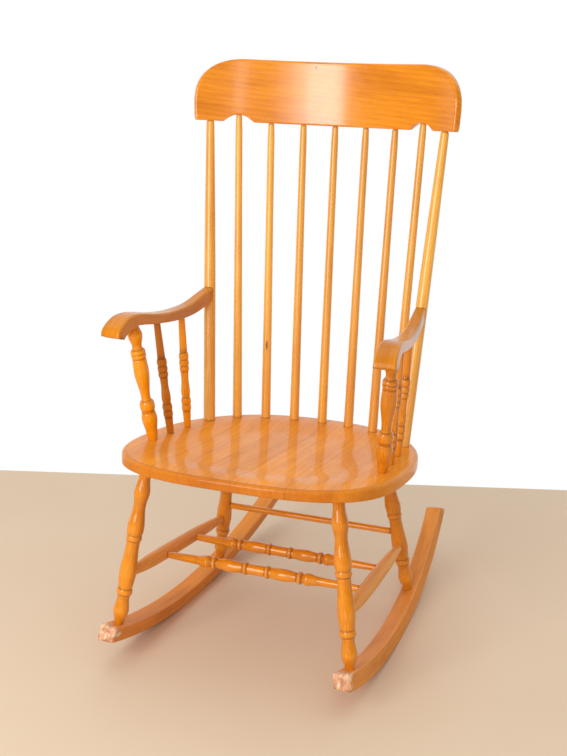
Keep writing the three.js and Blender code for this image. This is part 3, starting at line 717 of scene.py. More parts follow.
def profile_of(turning_shares, diameter, length):
    """The outline as (along, radius) in mm, with short steps where it bends."""
    at, across = turning_shares[0]
    points = [(at * length, across * diameter / 2)]
    for next_at, next_across, bend in turning_shares[1:]:
        cuts = math.ceil((next_at - at) * length / FINEST_CUT)
        steps = max(FEWEST_CUTS, min(MOST_CUTS, cuts))
        for step in range(1, steps + 1):
            along, over = BENDS[bend](step / steps)
            points.append((
                (at + (next_at - at) * along) * length,
                (across + (next_across - across) * over) * diameter / 2))
        at, across = next_at, next_across
    return points


def radius_at(turning_shares, diameter, share):
    points = profile_of(turning_shares, diameter, 1.0)
    for (at, radius), (next_at, next_radius) in zip(points, points[1:]):
        if next_at >= share:
            return radius + (next_radius - radius) * (share - at) / (next_at - at)
    return points[-1][1]


print("bends a turner needs here:", ", ".join(BENDS))

# %% [markdown]
# ## Marks along a turning
#
# Where an outline turns outward it is an edge, and where it turns inward it is a hollow, which is
# darkened partly for pooled varnish and partly as painted shade. The flanks of a bead are darkened
# too: there the cut crosses the fibres, and end grain drinks more stain. A thin dark line lies
# where a stick enters its hole, partly dirt and partly a painted shadow of the gap. All of this
# could be painted by hand, but the outline itself already says it.

# %% Read the marks off an outline
END_GRAIN_SHARE = 0.8
TURN_SHARPNESS = 1.5
LEAST_CUT = 0.05
# The dark line at each joint is partly dirt and partly a painted shadow of the gap.
DIRT_AND_SHADOW_LINE = 3
CLEAN = (0.0, 0.0)
DIRTY_AND_SHADED = (0.0, 1.0)


def held(value, low=0.0, high=1.0):
    return max(low, min(high, value))


def bend_marks(points):
    """How much each point of an outline is an edge, and how much it is darkened, 0 to 1: a hollow
    with painted shade and pooled varnish, a flank for its end grain.
    """
    turns, steep = [0.0], [0.0]
    for (a, ra), (b, rb), (c, rc) in zip(points, points[1:], points[2:]):
        before = math.atan((rb - ra) / max(b - a, LEAST_CUT))
        after = math.atan((rc - rb) / max(c - b, LEAST_CUT))
        turns.append(held(TURN_SHARPNESS * (after - before), -1.0))
        steep.append(abs(math.sin((before + after) / 2)))
    turns.append(0.0)
    steep.append(0.0)
    marks = []
    for i in range(len(points)):
        near = turns[max(0, i - 1):i + 2]
        turn = (sum(near) + turns[i]) / 2
        marks.append((held(-turn), held(max(0.0, turn) + END_GRAIN_SHARE * steep[i])))
    return marks


def with_dirt_and_shadow_line(points, marks):
    """Adds a ring close to the first, so that the dark of the joint, dirt and a painted shadow of
    the gap, stays a thin line.
    """
    (at, radius), (next_at, next_radius) = points[:2]
    share = DIRT_AND_SHADOW_LINE / abs(next_at - at)
    if share < 1:
        row = at + math.copysign(DIRT_AND_SHADOW_LINE, next_at - at), radius + (next_radius - radius) * share
        points = [points[0], row, *points[1:]]
        marks = [marks[0], CLEAN, *marks[1:]]
    return points, [DIRTY_AND_SHADED, *marks[1:]]


print("the line of dirt is wide by mm:", DIRT_AND_SHADOW_LINE)

# %% Turn a piece between two points
TURNED_SIDES = 32
INTO_WOOD = 6


def along_line(start, end):
    """Carries +Z at the origin onto the line from one point to another."""
    turn = Vector((0, 0, 1)).rotation_difference(end - start)
    return Matrix.Translation(start) @ turn.to_matrix().to_4x4()


def turn_piece(name, slot, material, turning_shares, diameter, start, end, into=INTO_WOOD):
    """A turned stick between two points, running a little way into the wood at each end."""
    length = (end - start).length
    points = profile_of(turning_shares, diameter, length)
    marks = bend_marks(points)
    if into > 0:
        # The outline is turned end for end each time, so that both ends get their line.
        for _ in ("start", "end"):
            points, marks = with_dirt_and_shadow_line(points, marks)
            points, marks = points[::-1], marks[::-1]
        points = [(-into, points[0][1]), *points, (length + into, points[-1][1])]
        marks = [DIRTY_AND_SHADED, *marks, DIRTY_AND_SHADED]
    place = along_line(start, end)
    roll = rng.uniform(0, math.tau)
    rings = []
    for (along, radius), (edge, stain_and_shade) in zip(points, marks):
        ring = []
        for i in range(TURNED_SIDES):
            angle = math.tau * i / TURNED_SIDES
            spot = Vector((radius * math.cos(angle), radius * math.sin(angle), along))
            grain = Vector((
                along, radius * math.cos(angle + roll), radius * math.sin(angle + roll)))
            ring.append(Spot(place @ spot, grain, edge, stain_and_shade))
        rings.append(ring)
    return skin(name, rings, name, material)


print("points round a turned piece:", TURNED_SIDES)

# %% [markdown]
# ## Honey varnish on turned wood
#
# The legs, the cross stretchers and most supports of the arms have a deep honey colour that goes
# brown in every hollow, partly by stain and partly by painted shade. It could be one flat orange
# with a gloss, but old varnish is yellow where it is thin and brown where it is thick, so the pale
# and the dark of the recipe lie far apart.

# %% The finish of the turned pieces
TURNED = varnished_wood("turned_honey_varnish", WoodLook(
    pale=colour(240, 151, 28), dark=colour(160, 72, 8), rubbed=colour(255, 196, 100),
    fibre=1.6, fibre_share=0.5, piece_share=0.16, specular=0.1, coat=0.85))

# %% [markdown]
# ## Legs
#
# Each leg has three long swells with a bead between them and a round foot that goes into the
# rocker. The front legs stand nearly upright and the rear legs are raked back. All four splay,
# which keeps a rocking chair from wandering sideways. One leg could be turned and copied three
# times, but front and rear legs differ in length. So each is turned anew from one pattern, as a
# turner does with one marked stick held against all four.

# %% Turn the legs
LEG_TURNING_SHARES = (
    (0, 0.68),
    (0.055, 0.685, "line"),
    (0.15, 0.92, "ease"),
    (0.235, 0.71, "ease"),
    (0.378, 0.975, "ease"),
    (0.422, 0.82, "fall"),
    (0.44, 0.93, "rise"),
    (0.458, 0.8, "fall"),
    (0.48, 0.77, "line"),
    (0.685, 1, "ease"),
    (0.768, 0.82, "line"),
    (0.788, 0.93, "rise"),
    (0.806, 0.78, "fall"),
    (0.829, 0.71, "line"),
    (0.912, 0.9, "ease"),
    (1, 0.54, "ease"),
)


def turn_leg(name, ends):
    return turn_piece(name, "turned_wood", TURNED, LEG_TURNING_SHARES, LEG_DIAMETER, *ends)


for hand, side in HANDS:
    leg = turn_leg(f"leg_front_{hand}", front_leg(side))
    turn_leg(f"leg_rear_{hand}", rear_leg(side))
print("legs turned, points in each:", len(leg.data.vertices))

# %% [markdown]
# ## Side stretchers
#
# Stretchers tie the legs so that they can't spread. A plain bowed one runs along each side from
# leg to leg. It comes out of the wood at the surface of the legs, so its length isn't measured
# but follows from the legs. These two have lost most of their gloss and look browner.

# %% The finish of the side stretchers
BROWN = varnished_wood("brown_turned_varnish", WoodLook(
    pale=colour(248, 174, 88), dark=colour(194, 120, 54), rubbed=colour(246, 182, 106),
    specular=0.05, coat=0.1, coat_roughness=0.2))

# %% Turn the side stretchers
SIDE_STRETCHER_DIAMETER = 28.5
SIDE_STRETCHER_SHARES = (0.681, 0.675)
SIDE_STRETCHER_TURNING_SHARES = (
    (0, 0.56),
    (0.25, 0.97, "bow"),
    (0.42, 1, "line"),
    (0.62, 0.95, "line"),
    (1, 0.56, "droop"),
)


def stretcher_line(ends, radii):
    """The line between two axes, cut short by the radius of what it meets at each end."""
    axis = (ends[1] - ends[0]).normalized()
    return ends[0] + axis * radii[0], ends[1] - axis * radii[1]


def turn_side_stretcher(hand, side):
    legs = front_leg(side), rear_leg(side)
    axes = [leg[0].lerp(leg[1], share) for leg, share in zip(legs, SIDE_STRETCHER_SHARES)]
    radii = [radius_at(LEG_TURNING_SHARES, LEG_DIAMETER, share) for share in SIDE_STRETCHER_SHARES]
    line = stretcher_line(axes, radii)
    turn_piece(f"side_stretcher_{hand}", "turned_wood", BROWN,
               SIDE_STRETCHER_TURNING_SHARES, SIDE_STRETCHER_DIAMETER, *line)
    return line


side_lines = [turn_side_stretcher(hand, side) for hand, side in HANDS]
print("side stretcher, mm:", round((side_lines[0][1] - side_lines[0][0]).length, 1))

# %% [markdown]
# ## Cross stretchers and the rear rod
#
# Two stretchers with beads cross from side stretcher to side stretcher, and a thin plain rod ties
# the rear legs. The beaded pattern is the same on both sides of its middle, so only half of it is
# written down and mirrored. Its middle lies a little off the middle of the piece, as hand work
# often does.

# %% Mirror half a pattern
CROSS_STRETCHER_DIAMETER = 26
CROSS_STRETCHER_SHARES = (0.316, 0.645)
CROSS_PATTERN_SHARE = 0.523
HALF_CROSS_TURNING_SHARES = (
    (0, 0.78),
    (0.095, 0.78, "line"),
    (0.115, 0.97, "rise"),
    (0.135, 0.8, "fall"),
    (0.28, 0.95, "ease"),
    (0.42, 0.74, "ease"),
    (0.43, 0.8, "line"),
    (0.453, 0.96, "rise"),
    (0.472, 0.72, "fall"),
    (0.53, 0.97, "ease"),
    (0.63, 0.68, "line"),
    (1, 0.5, "line"),
)


def other_way(bend):
    return {"rise": "fall", "fall": "rise"}.get(bend, bend)


def mirrored(half_shares, middle_share):
    """A pattern from its middle to one end, made into one from end to end of the piece."""
    pattern = half_shares[:-1]
    end = half_shares[-1]
    rows = [(0, end[1])]
    for row, after in zip(reversed(pattern), [end, *reversed(pattern)]):
        rows.append((middle_share - row[0] / 2, row[1], other_way(after[2])))
    for row in pattern[1:]:
        rows.append((middle_share + row[0] / 2, *row[1:]))
    return (*rows, (1, *end[1:]))


CROSS_TURNING_SHARES = mirrored(HALF_CROSS_TURNING_SHARES, CROSS_PATTERN_SHARE)
print("marks along a cross stretcher:", len(CROSS_TURNING_SHARES))

# %% Turn the cross stretchers and the rear rod
REAR_STRETCHER_DIAMETER = 13.5
ROD_SHARES = ((0, 1), (1, 1, "line"))


def turn_cross_stretcher(row, share):
    radius = radius_at(SIDE_STRETCHER_TURNING_SHARES, SIDE_STRETCHER_DIAMETER, share)
    line = stretcher_line([ends[0].lerp(ends[1], share) for ends in side_lines], [radius] * 2)
    turn_piece(f"cross_stretcher_{row}", "turned_wood", TURNED,
               CROSS_TURNING_SHARES, CROSS_STRETCHER_DIAMETER, *line)


def turn_rear_stretcher():
    radius = radius_at(LEG_TURNING_SHARES, LEG_DIAMETER, REAR_STRETCHER_SHARE)
    axes = [rear_leg(side)[0].lerp(rear_leg(side)[1], REAR_STRETCHER_SHARE) for _, side in HANDS]
    line = stretcher_line(axes, [radius] * 2)
    turn_piece("rear_stretcher", "turned_wood", TURNED,
               ROD_SHARES, REAR_STRETCHER_DIAMETER, *line)
    return line


for row, share in zip(("front", "rear"), CROSS_STRETCHER_SHARES):
    turn_cross_stretcher(row, share)
rod_line = turn_rear_stretcher()
print("rear rod, mm:", round((rod_line[1] - rod_line[0]).length, 1))

# %% [markdown]
# ## Back sticks and back posts
#
# Seven tapered sticks fan out from an arc on the seat to the bent crest rail, between two stouter
# posts. Their tops go up into holes in the rail's lower edge. They could be copies of one stick,
# but each stands at its own angle, and the outer ones reach up into the notches of the rail. So
# each is turned between its own two points. Their wood is paler than that of the legs, no two are
# alike in tone, and one of them has a knot.

# %% The finish of the sticks
STICK_KNOT_PLACE = Vector((-120.5, 213, 158))
STICK_KNOT_REACH = (2.8, 8, 13)
STICK = varnished_wood("golden_stick_varnish", WoodLook(
    pale=colour(255, 193, 82), dark=colour(194, 106, 30), rubbed=colour(255, 210, 130),
    fibre=1.6, fibre_share=0.5, piece_share=0.42, roughness=0.28, specular=0.5, coat=0.6,
    coat_roughness=0.2), [(STICK_KNOT_PLACE, STICK_KNOT_REACH)])

# %% Where the sticks and posts stand
BACK_POST_DIAMETER = 24.6
BACK_POST_INSET = 26.6
BACK_POST_SETBACK = 148
BACK_STICK_DIAMETER = 19.8
BACK_STICK_INSET = 36
BACK_STICK_RADIUS = 320
BACK_STICK_POST_GAP = 28
STICKS_EACH_SIDE = 3
CREST_POST_GAP = 58
NOTCH_HALF_LENGTH = 31
NOTCH_RISE = 14.5
BACK_POST_SEAT = in_from_edge(SEAT_REAR - BACK_POST_SETBACK, BACK_POST_INSET)
STICK_SEAT_SPACING = (BACK_POST_SEAT[0] - BACK_STICK_POST_GAP) / STICKS_EACH_SIDE
STICK_CREST_SPACING = (CREST_POST_REACH - CREST_POST_GAP) / STICKS_EACH_SIDE


def notch_at(bend):
    """The rail's lower edge is cut up in a shallow arch over each outer stick."""
    from_middle = (abs(bend) - STICKS_EACH_SIDE * STICK_CREST_SPACING) / NOTCH_HALF_LENGTH
    return NOTCH_RISE * max(0.0, 1 - from_middle ** 2)


def back_post_ends(side):
    x, y = BACK_POST_SEAT
    return Vector((side * x, y, 0)), on_crest(side * CREST_POST_REACH, 0)


def back_stick_ends(number):
    """Sticks are numbered from the middle one, which is 0."""
    angle = number * STICK_SEAT_SPACING / BACK_STICK_RADIUS
    y = SEAT_REAR - BACK_STICK_INSET - BACK_STICK_RADIUS * (1 - math.cos(angle))
    bend = number * STICK_CREST_SPACING
    return Vector((BACK_STICK_RADIUS * math.sin(angle), y, 0)), on_crest(bend, notch_at(bend))


print("sticks stand apart on the seat by mm:", round(STICK_SEAT_SPACING, 1))

# %% Turn the back
BACK_STICK_TURNING_SHARES = (
    (0, 1),
    (0.3, 0.91, "line"),
    (0.7, 0.775, "line"),
    (0.95, 0.725, "line"),
    (0.996, 0.63, "line"),
    (1, 0.5, "line"),
)
BACK_POST_TURNING_SHARES = (
    (0, 1),
    (0.5, 0.96, "line"),
    (0.7, 0.87, "line"),
    (0.85, 0.765, "line"),
    (0.95, 0.7, "line"),
    (0.996, 0.66, "line"),
    (1, 0.5, "line"),
)

for number in range(-STICKS_EACH_SIDE, STICKS_EACH_SIDE + 1):
    turn_piece(f"back_stick_{number + STICKS_EACH_SIDE + 1}", "turned_wood", STICK,
               BACK_STICK_TURNING_SHARES, BACK_STICK_DIAMETER, *back_stick_ends(number))
for hand, side in HANDS:
    turn_piece(f"back_post_{hand}", "turned_wood", STICK,
               BACK_POST_TURNING_SHARES, BACK_POST_DIAMETER, *back_post_ends(side))
print("sticks and posts turned:", 2 * STICKS_EACH_SIDE + 1 + len(HANDS))

# %% [markdown]
# ## Glued boards
#
# The seat is too wide for one board. Boards from different trees differ in tone, and their rings
# don't meet at the seam. Six separate meshes would show gaps, and the real seat is planed as one.
# So it is one skin, and a colour ramp with hard steps does the rest: across the seat it changes
# its tone at each seam, and it draws the glue line as a very narrow step between two wide ones.

# %% The boards of the seat
SEAT_SEAMS = (-153, -71, 11, 113, 195)
SEAT_BOARD_TONE_SHARES = (0.1, 0.14, 0.3, 0.08, 0.17, 0.02)
SEAT_SEAM_WIDTH = 1.0
SEAT_SEAM_SHARE = 0.22
BOARD_APART = 0.9


def seat_ramp(tree, across):
    """Red tells how dark a board is, and green where a glue line runs."""
    half = SEAT_WIDTH / 2
    ramp = add_node(tree, "ShaderNodeValToRGB", {
        "Fac": spread(tree, across, -half * MM, half * MM)})
    steps = ramp.color_ramp
    steps.interpolation = "CONSTANT"
    first, second, *others = SEAT_BOARD_TONE_SHARES
    steps.elements[0].color = (first, 0, 0, 1)
    steps.elements[1].position = 1.0
    for place, tone in zip(SEAT_SEAMS, (second, *others)):
        seam_start = (place - SEAT_SEAM_WIDTH / 2 + half) / SEAT_WIDTH
        seam_end = (place + SEAT_SEAM_WIDTH / 2 + half) / SEAT_WIDTH
        steps.elements.new(seam_start).color = (tone, SEAT_SEAM_SHARE, 0, 1)
        steps.elements.new(seam_end).color = (tone, 0, 0, 1)
    return add_node(tree, "ShaderNodeSeparateColor", {0: ramp.outputs["Color"]}).outputs


def seat_boards(tree, grain):
    """How dark each board is, where the glue lines run, and each board's own grain."""
    here = add_node(tree, "ShaderNodeTexCoord").outputs["Object"]
    parts = seat_ramp(tree, add_node(tree, "ShaderNodeSeparateXYZ", {0: here}).outputs["X"])
    moved = add_node(tree, "ShaderNodeVectorMath", {
        0: (BOARD_APART, BOARD_APART, 0), "Scale": parts["Red"]}, operation="SCALE").outputs[0]
    own_grain = add_node(tree, "ShaderNodeVectorMath", {0: grain, 1: moved}).outputs[0]
    return parts["Red"], parts["Green"], own_grain


print("boards of the seat:", len(SEAT_BOARD_TONE_SHARES))

# %% The finish of the seat
SEAT = varnished_wood("seat_honey_varnish", WoodLook(
    pale=colour(250, 160, 48), dark=colour(188, 101, 23), rubbed=colour(240, 168, 84),
    ring=12.0, ring_share=0.14, fibre_share=0.34, tone_share=0.34,
    specular=0.06, coat=0.28, coat_roughness=0.05, bump=0.05), boards=seat_boards)

# %% [markdown]
# ## The seat
#
# The glued slab is sawn to a rounded outline, dished for comfort and rolled over at the front.
# Sculpting would give the dish too, but not the same one twice. Rings run up from the underside,
# round the top edge and then inward over the dish, and each one repeats the outline a little
# smaller. Boards cup and twist as they dry, which bends what the varnish mirrors, so a slight wave
# lies over the dish.

# %% The outline and the wave
SEAT_SIDES = 176
SEAT_END_SHARE = 0.85
SEAT_FRONT_FALL = 6
SEAT_FALL_LENGTH = 190
SEAT_WAVE = 0.3
SEAT_WAVE_LENGTHS = (17, 41, 23, 60)
SEAT_WAVE_FADE_SHARE = 0.125


def seat_rim_point(angle):
    cosine, sine = math.cos(angle), math.sin(angle)
    curve = SEAT_FRONT_CURVE if sine < 0 else SEAT_REAR_CURVE
    reach = SEAT_FRONT - SEAT_WIDEST if sine < 0 else SEAT_REAR + SEAT_WIDEST

    def squared(value):
        return math.copysign(abs(value) ** (2 / curve), value)

    return SEAT_WIDTH / 2 * squared(cosine), reach * squared(sine)


def board_wave(x, y):
    first, second, third, fourth = SEAT_WAVE_LENGTHS
    across = math.sin(x / first + math.sin(y / second))
    along = math.sin(y / third + x / fourth)
    return SEAT_WAVE * (across + along) / 2


def seat_ring(inset, share, depth, edge=0.0):
    ring = []
    for i in range(SEAT_SIDES):
        angle = math.tau * (i + 0.5) / SEAT_SIDES
        x, y = seat_rim_point(angle)
        end_grain = SEAT_END_SHARE * abs(math.sin(angle)) if share == 1 else 0.0
        inward = share - inset / math.hypot(x, y)
        place = Vector((x * inward, y * inward - SEAT_WIDEST, -depth))
        past = max(0.0, -place.y - (SEAT_FRONT - SEAT_FALL_LENGTH)) / SEAT_FALL_LENGTH
        if depth < SEAT_THICKNESS / 2:
            place.z -= SEAT_FRONT_FALL * past ** 2
        if share < 1:
            place.z -= board_wave(place.x, place.y) * min(1, (1 - share) / SEAT_WAVE_FADE_SHARE)
        ring.append(Spot(place, Vector((place.y, place.x, place.z)), edge, end_grain))
    return ring


print("the seat is deep by mm:", SEAT_FRONT + SEAT_REAR)

# %% Shape the seat
SEAT_TOP_ROUND = 7
SEAT_BOTTOM_ROUND = 4
SEAT_ROUND_STEP = 10
SEAT_DISH_DEPTH = 8
SEAT_DISH_SHARES = (0.87, 0.54)
SEAT_DISH_RINGS = 40
SEAT_TOP_SHARE = 0.965


def dish_depth(share):
    """The dish falls smoothly from its rim to its flat floor."""
    start, floor = SEAT_DISH_SHARES
    into = held((start - share) / (start - floor))
    return SEAT_DISH_DEPTH * into * into * (3 - 2 * into)


def shape_seat():
    rings = []
    for inward, up, edge in reversed(quarter_round(SEAT_ROUND_STEP)):
        rings.append(seat_ring(
            SEAT_BOTTOM_ROUND * inward, 1, SEAT_THICKNESS - SEAT_BOTTOM_ROUND * up, edge))
    for inward, down, edge in quarter_round(SEAT_ROUND_STEP):
        rings.append(seat_ring(SEAT_TOP_ROUND * inward, 1, SEAT_TOP_ROUND * down, edge))
    for number in range(SEAT_DISH_RINGS):
        share = SEAT_TOP_SHARE * (1 - number / SEAT_DISH_RINGS)
        rings.append(seat_ring(0, share, dish_depth(share)))
    return skin("seat_top", rings, "seat", SEAT)


print("seat shaped, points:", len(shape_seat().data.vertices))

# %% [markdown]
# ## The crest rail
#
# The head of the chair is a thick board, steamed and bent to the sitter's shoulders, with round
# top corners, ends that tuck in a little at the foot, and two arched notches below. A bend
# modifier could curve a flat board, but the sticks have to meet it exactly. So it is drawn flat,
# as a maker would draw it on the board, and each point is carried round the bend by the same sum
# that places the sticks. Its broad face catches the windows, and its rings run long.

# %% The outline of the crest rail
CREST_END_RISE = 42
CREST_TUCK = 5
CREST_CORNER = 108
CREST_CORNER_CURVE = 2.3
CREST_STATIONS = 220
CREST_GRAIN_SLOPE = 0.07


def crest_top_at(bend):
    into = max(0.0, abs(bend) - (CREST_HALF_LENGTH - CREST_CORNER)) / CREST_CORNER
    drop = 1 - max(0.0, 1 - into ** CREST_CORNER_CURVE) ** (1 / CREST_CORNER_CURVE)
    return CREST_HEIGHT - (CREST_HEIGHT - CREST_END_RISE) * drop


def crest_bottom_at(bend):
    past = max(0.0, abs(bend) - (CREST_HALF_LENGTH - CREST_TUCK)) / CREST_TUCK
    return notch_at(bend) + CREST_END_RISE * (1 - math.sqrt(max(0.0, 1 - past ** 2)))


def crest_bends():
    """Places along the rail, crowding together towards its ends."""
    bends = []
    for i in range(CREST_STATIONS + 1):
        angle = math.pi * (i / CREST_STATIONS - 0.5)
        even = 2 * i / CREST_STATIONS - 1
        bends.append(CREST_HALF_LENGTH * (even + math.sin(angle)) / 2)
    return bends


def crest_loop(inset, offset, edge=0.0):
    """The rail's outline drawn in by an inset, at an offset from the middle of its thickness."""
    lower, upper = [], []
    for bend in crest_bends():
        low, high = crest_bottom_at(bend), crest_top_at(bend)
        rise_in = min(inset, (high - low) / 2)
        drawn_in = bend * (1 - inset / CREST_HALF_LENGTH)
        for line, rise in ((lower, low + rise_in), (upper, high - rise_in)):
            place = on_crest(drawn_in, rise, offset)
            grain = Vector((drawn_in, rise + CREST_GRAIN_SLOPE * drawn_in, offset))
            line.append(Spot(place, grain, edge))
    return lower + upper[-2:0:-1]


print("height of the rail between its notches, mm:", crest_top_at(0) - crest_bottom_at(0))

# %% The finish of the crest rail
CREST_KNOT_BEND = -46
CREST_KNOT_RISE = 115
CREST_KNOT_REACH = (2.8, 4, 4.5)
CREST_KNOT_PLACE = on_crest(CREST_KNOT_BEND, CREST_KNOT_RISE, -CREST_THICKNESS / 2)
CREST = varnished_wood("crest_honey_varnish", WoodLook(
    pale=colour(248, 156, 36), dark=colour(186, 92, 14), rubbed=colour(240, 160, 80),
    ring=9.0, ring_share=0.26, fibre=1.0, fibre_share=0.5, tone_share=0.4, edge_share=0,
    roughness=0.22, specular=0.4, coat=0.8, coat_roughness=0.14),
    [(CREST_KNOT_PLACE, CREST_KNOT_REACH)])

# %% Shape the crest rail
CREST_EDGE = 4
CREST_HOLD = 2.0


def crest_loops():
    """Loops from the front face round the outer edge to the back face."""
    half = CREST_THICKNESS / 2
    edge_rows = quarter_round(ROUND_STEP)
    loops = [crest_loop(CREST_EDGE + CREST_HOLD, -half)]
    for inward, back, edge in reversed(edge_rows):
        loops.append(crest_loop(CREST_EDGE * inward, CREST_EDGE * back - half, edge))
    for inward, back, edge in edge_rows:
        loops.append(crest_loop(CREST_EDGE * inward, half - CREST_EDGE * back, edge))
    loops.append(crest_loop(CREST_EDGE + CREST_HOLD, half))
    return loops


def close_crest(piece):
    """Closes the front and the back with upright strips, which follow the bend."""
    work = bmesh.new()
    work.from_mesh(piece.data)
    work.verts.ensure_lookup_table()
    count = 2 * CREST_STATIONS
    for first in (0, len(work.verts) - count):
        for i in range(CREST_STATIONS):
            corners = [i, i + 1, (count - i - 1) % count, (count - i) % count]
            ring = list(dict.fromkeys(first + corner for corner in corners))
            work.faces.new([work.verts[number] for number in ring]).smooth = True
    bmesh.ops.recalc_face_normals(work, faces=work.faces)
    work.to_mesh(piece.data)
    work.free()


crest = skin("crest_board", crest_loops(), "crest_rail", CREST, closed=False)
close_crest(crest)
print("crest rail shaped, points:", len(crest.data.vertices))

# %% [markdown]
# ## Sawn strips
#
# Rockers and arms were sawn from flat boards and then eased along their edges. A box with a bevel
# would do for a straight one. These bend, so a section is drawn once, with round corners and a
# held flat beside each, and is carried along the curve. The held points keep the shading of the
# flats from running into the corners.

# %% A section with round corners
CORNER_STEPS = 5
CORNER_HOLD = 1.2
CORNER_MOST_SHARE = 1 / 3
HOLD_MOST_SHARE = 1 / 8
CORNERS = ((1, 1), (-1, 1), (-1, -1), (1, -1))


def corner_point(middle_x, middle_y, radius, angle, beside=0.0):
    """A point on the round of a corner, or beside it on the flat that runs on from there."""
    across = middle_x + radius * math.cos(angle) - beside * math.sin(angle)
    up = middle_y + radius * math.sin(angle) + beside * math.cos(angle)
    return across, up


def soft_section(width, height, edge, steps=CORNER_STEPS):
    """A rectangle with round corners, as (across, up, edge) with held flats beside each corner."""
    radius = min(edge, width * CORNER_MOST_SHARE, height * CORNER_MOST_SHARE)
    hold = min(CORNER_HOLD, width * HOLD_MOST_SHARE, height * HOLD_MOST_SHARE)
    points = []
    for number, (side_x, side_y) in enumerate(CORNERS):
        corner = side_x * (width / 2 - radius), side_y * (height / 2 - radius), radius
        first = math.radians(QUARTER_TURN * number)
        last = math.radians(QUARTER_TURN * (number + 1))
        points.append((*corner_point(*corner, first, -hold), 0.0))
        for step in range(steps + 1):
            angle = first + (last - first) * step / steps
            points.append((*corner_point(*corner, angle), math.sin(math.pi * step / steps)))
        points.append((*corner_point(*corner, last, hold), 0.0))
    return points


print("points round a section:", len(soft_section(ROCKER_HEIGHT, ROCKER_HEIGHT, CREST_EDGE)))

# %% [markdown]
# ## Rockers
#
# Each rocker is sawn from a flat board that leans outward with the legs. Its underside is an arc
# of a large wheel, so the chair's weight stays over the floor as it rolls, and its rear tip is
# sawn on a slant. The arc could be cut from a ring, but rings of points at even steps along it are
# shorter to write and let the front end be rounded and marked bare.

# %% Where a rocker runs
ROCKER_WIDTH = 34.5
ROCKER_LEAN_DEGREES = 9
ROCKER_LEAN = math.tan(math.radians(ROCKER_LEAN_DEGREES))
ROCKER_FRONT_OUTSET = 0.5
ROCKER_REAR_OUTSET = 4.8
ROCKER_REAR_SLANT = 30
ROCKER_SKIM = 0.16
ROCKER_SKIN_HEIGHT = ROCKER_HEIGHT - ROCKER_SKIM
EDGE_BARE_SHARE = 0.3


def rocker_x(y, z):
    """The leaning middle plane of a rocker, through both feet at mid height."""
    front, rear = front_leg(1)[1], rear_leg(1)[1]
    share = (y - front.y) / (rear.y - front.y)
    front_x, rear_x = front.x + ROCKER_FRONT_OUTSET, rear.x + ROCKER_REAR_OUTSET
    middle_radius = ROCKER_RADIUS - ROCKER_HEIGHT / 2
    front_z, rear_z = on_rocker(front.y, middle_radius), on_rocker(rear.y, middle_radius)
    level = front_z + (rear_z - front_z) * share
    return front_x + (rear_x - front_x) * share - (z - level) * ROCKER_LEAN


def rocker_ring(side, along, slant_share, section, bare):
    """One section at a distance along the underside, from its lowest line."""
    angle = along / ROCKER_RADIUS
    ring = []
    for across, up, edge in section:
        slant = slant_share * up / ROCKER_SKIN_HEIGHT * ROCKER_REAR_SLANT / ROCKER_RADIUS
        tilt = across * ROCKER_LEAN if up > 0 else 0.0
        radius = ROCKER_RADIUS - ROCKER_SKIM - ROCKER_SKIN_HEIGHT / 2 - up - tilt
        y = radius * math.sin(angle - slant) - ROCKER_LOWEST
        z = ROCKER_CENTRE_RISE - radius * math.cos(angle - slant)
        place = Vector((side * (rocker_x(y, z) + across), y, z))
        grain = Vector((angle * ROCKER_RADIUS, across, up))
        ring.append(Spot(place, grain, edge, bare=bare * (1 + EDGE_BARE_SHARE * edge)))
    return ring


front_foot = front_leg(1)[1]
print("rocker to the side of the middle, mm:", round(rocker_x(front_foot.y, front_foot.z), 1))

# %% The finish of the rockers
ROCKER = varnished_wood("rocker_brown_varnish", WoodLook(
    pale=colour(236, 152, 66), dark=colour(176, 98, 38), rubbed=colour(240, 178, 122),
    ring_share=0.12, tone_share=0.5, edge_share=0.35, specular=0.06, coat=0.12,
    roughness=0.45, coat_roughness=0.24))

# %% Shape the rockers
ROCKER_EDGE = 2.5
ROCKER_FRONT_REACH = 250
ROCKER_REAR_REACH = 560
ROCKER_STEPS = 90
ROCKER_SLANT_SHARE = 0.1
ROCKER_BARE_SHARE = 0.62
ROCKER_BARE_LENGTH = 40
ROCKER_END_ROUND = 6.5


def shape_rocker(hand, side):
    rings = []
    for inward, back, _ in quarter_round(ROUND_STEP)[:0:-1]:
        less = 2 * ROCKER_END_ROUND * inward
        section = soft_section(ROCKER_WIDTH - less, ROCKER_SKIN_HEIGHT - less, ROCKER_EDGE)
        along = ROCKER_END_ROUND * back - ROCKER_FRONT_REACH
        rings.append(rocker_ring(side, along, 0, section, ROCKER_BARE_SHARE))
    section = soft_section(ROCKER_WIDTH, ROCKER_SKIN_HEIGHT, ROCKER_EDGE)
    length = ROCKER_REAR_REACH + ROCKER_FRONT_REACH - ROCKER_END_ROUND
    for i in range(ROCKER_STEPS + 1):
        share = i / ROCKER_STEPS
        along = ROCKER_END_ROUND - ROCKER_FRONT_REACH + length * share
        slant_share = max(0.0, (share - (1 - ROCKER_SLANT_SHARE)) / ROCKER_SLANT_SHARE)
        bare = ROCKER_BARE_SHARE * max(0.0, 1 - length * share / ROCKER_BARE_LENGTH)
        rings.append(rocker_ring(side, along, slant_share, section, bare))
    return skin(f"rocker_strip_{hand}", rings, f"rocker_{hand}", ROCKER)


for hand, side in HANDS:
    rocker = shape_rocker(hand, side)
print("rockers shaped, points in each:", len(rocker.data.vertices))

# %% [markdown]
# ## The line of an arm
#
# An arm is sawn from a thick plank: high where it meets the back post, low and thin along the
# forearm, then up and over into a rolled knuckle. The side view could be a single curve of a
# drawing program. A row of marks with the height and the thickness at each is easier to change,
# and a smooth line is run through them. The width grows from the post to the knuckle.

# %% A smooth run through marks
CURVE_POWER = 0.5


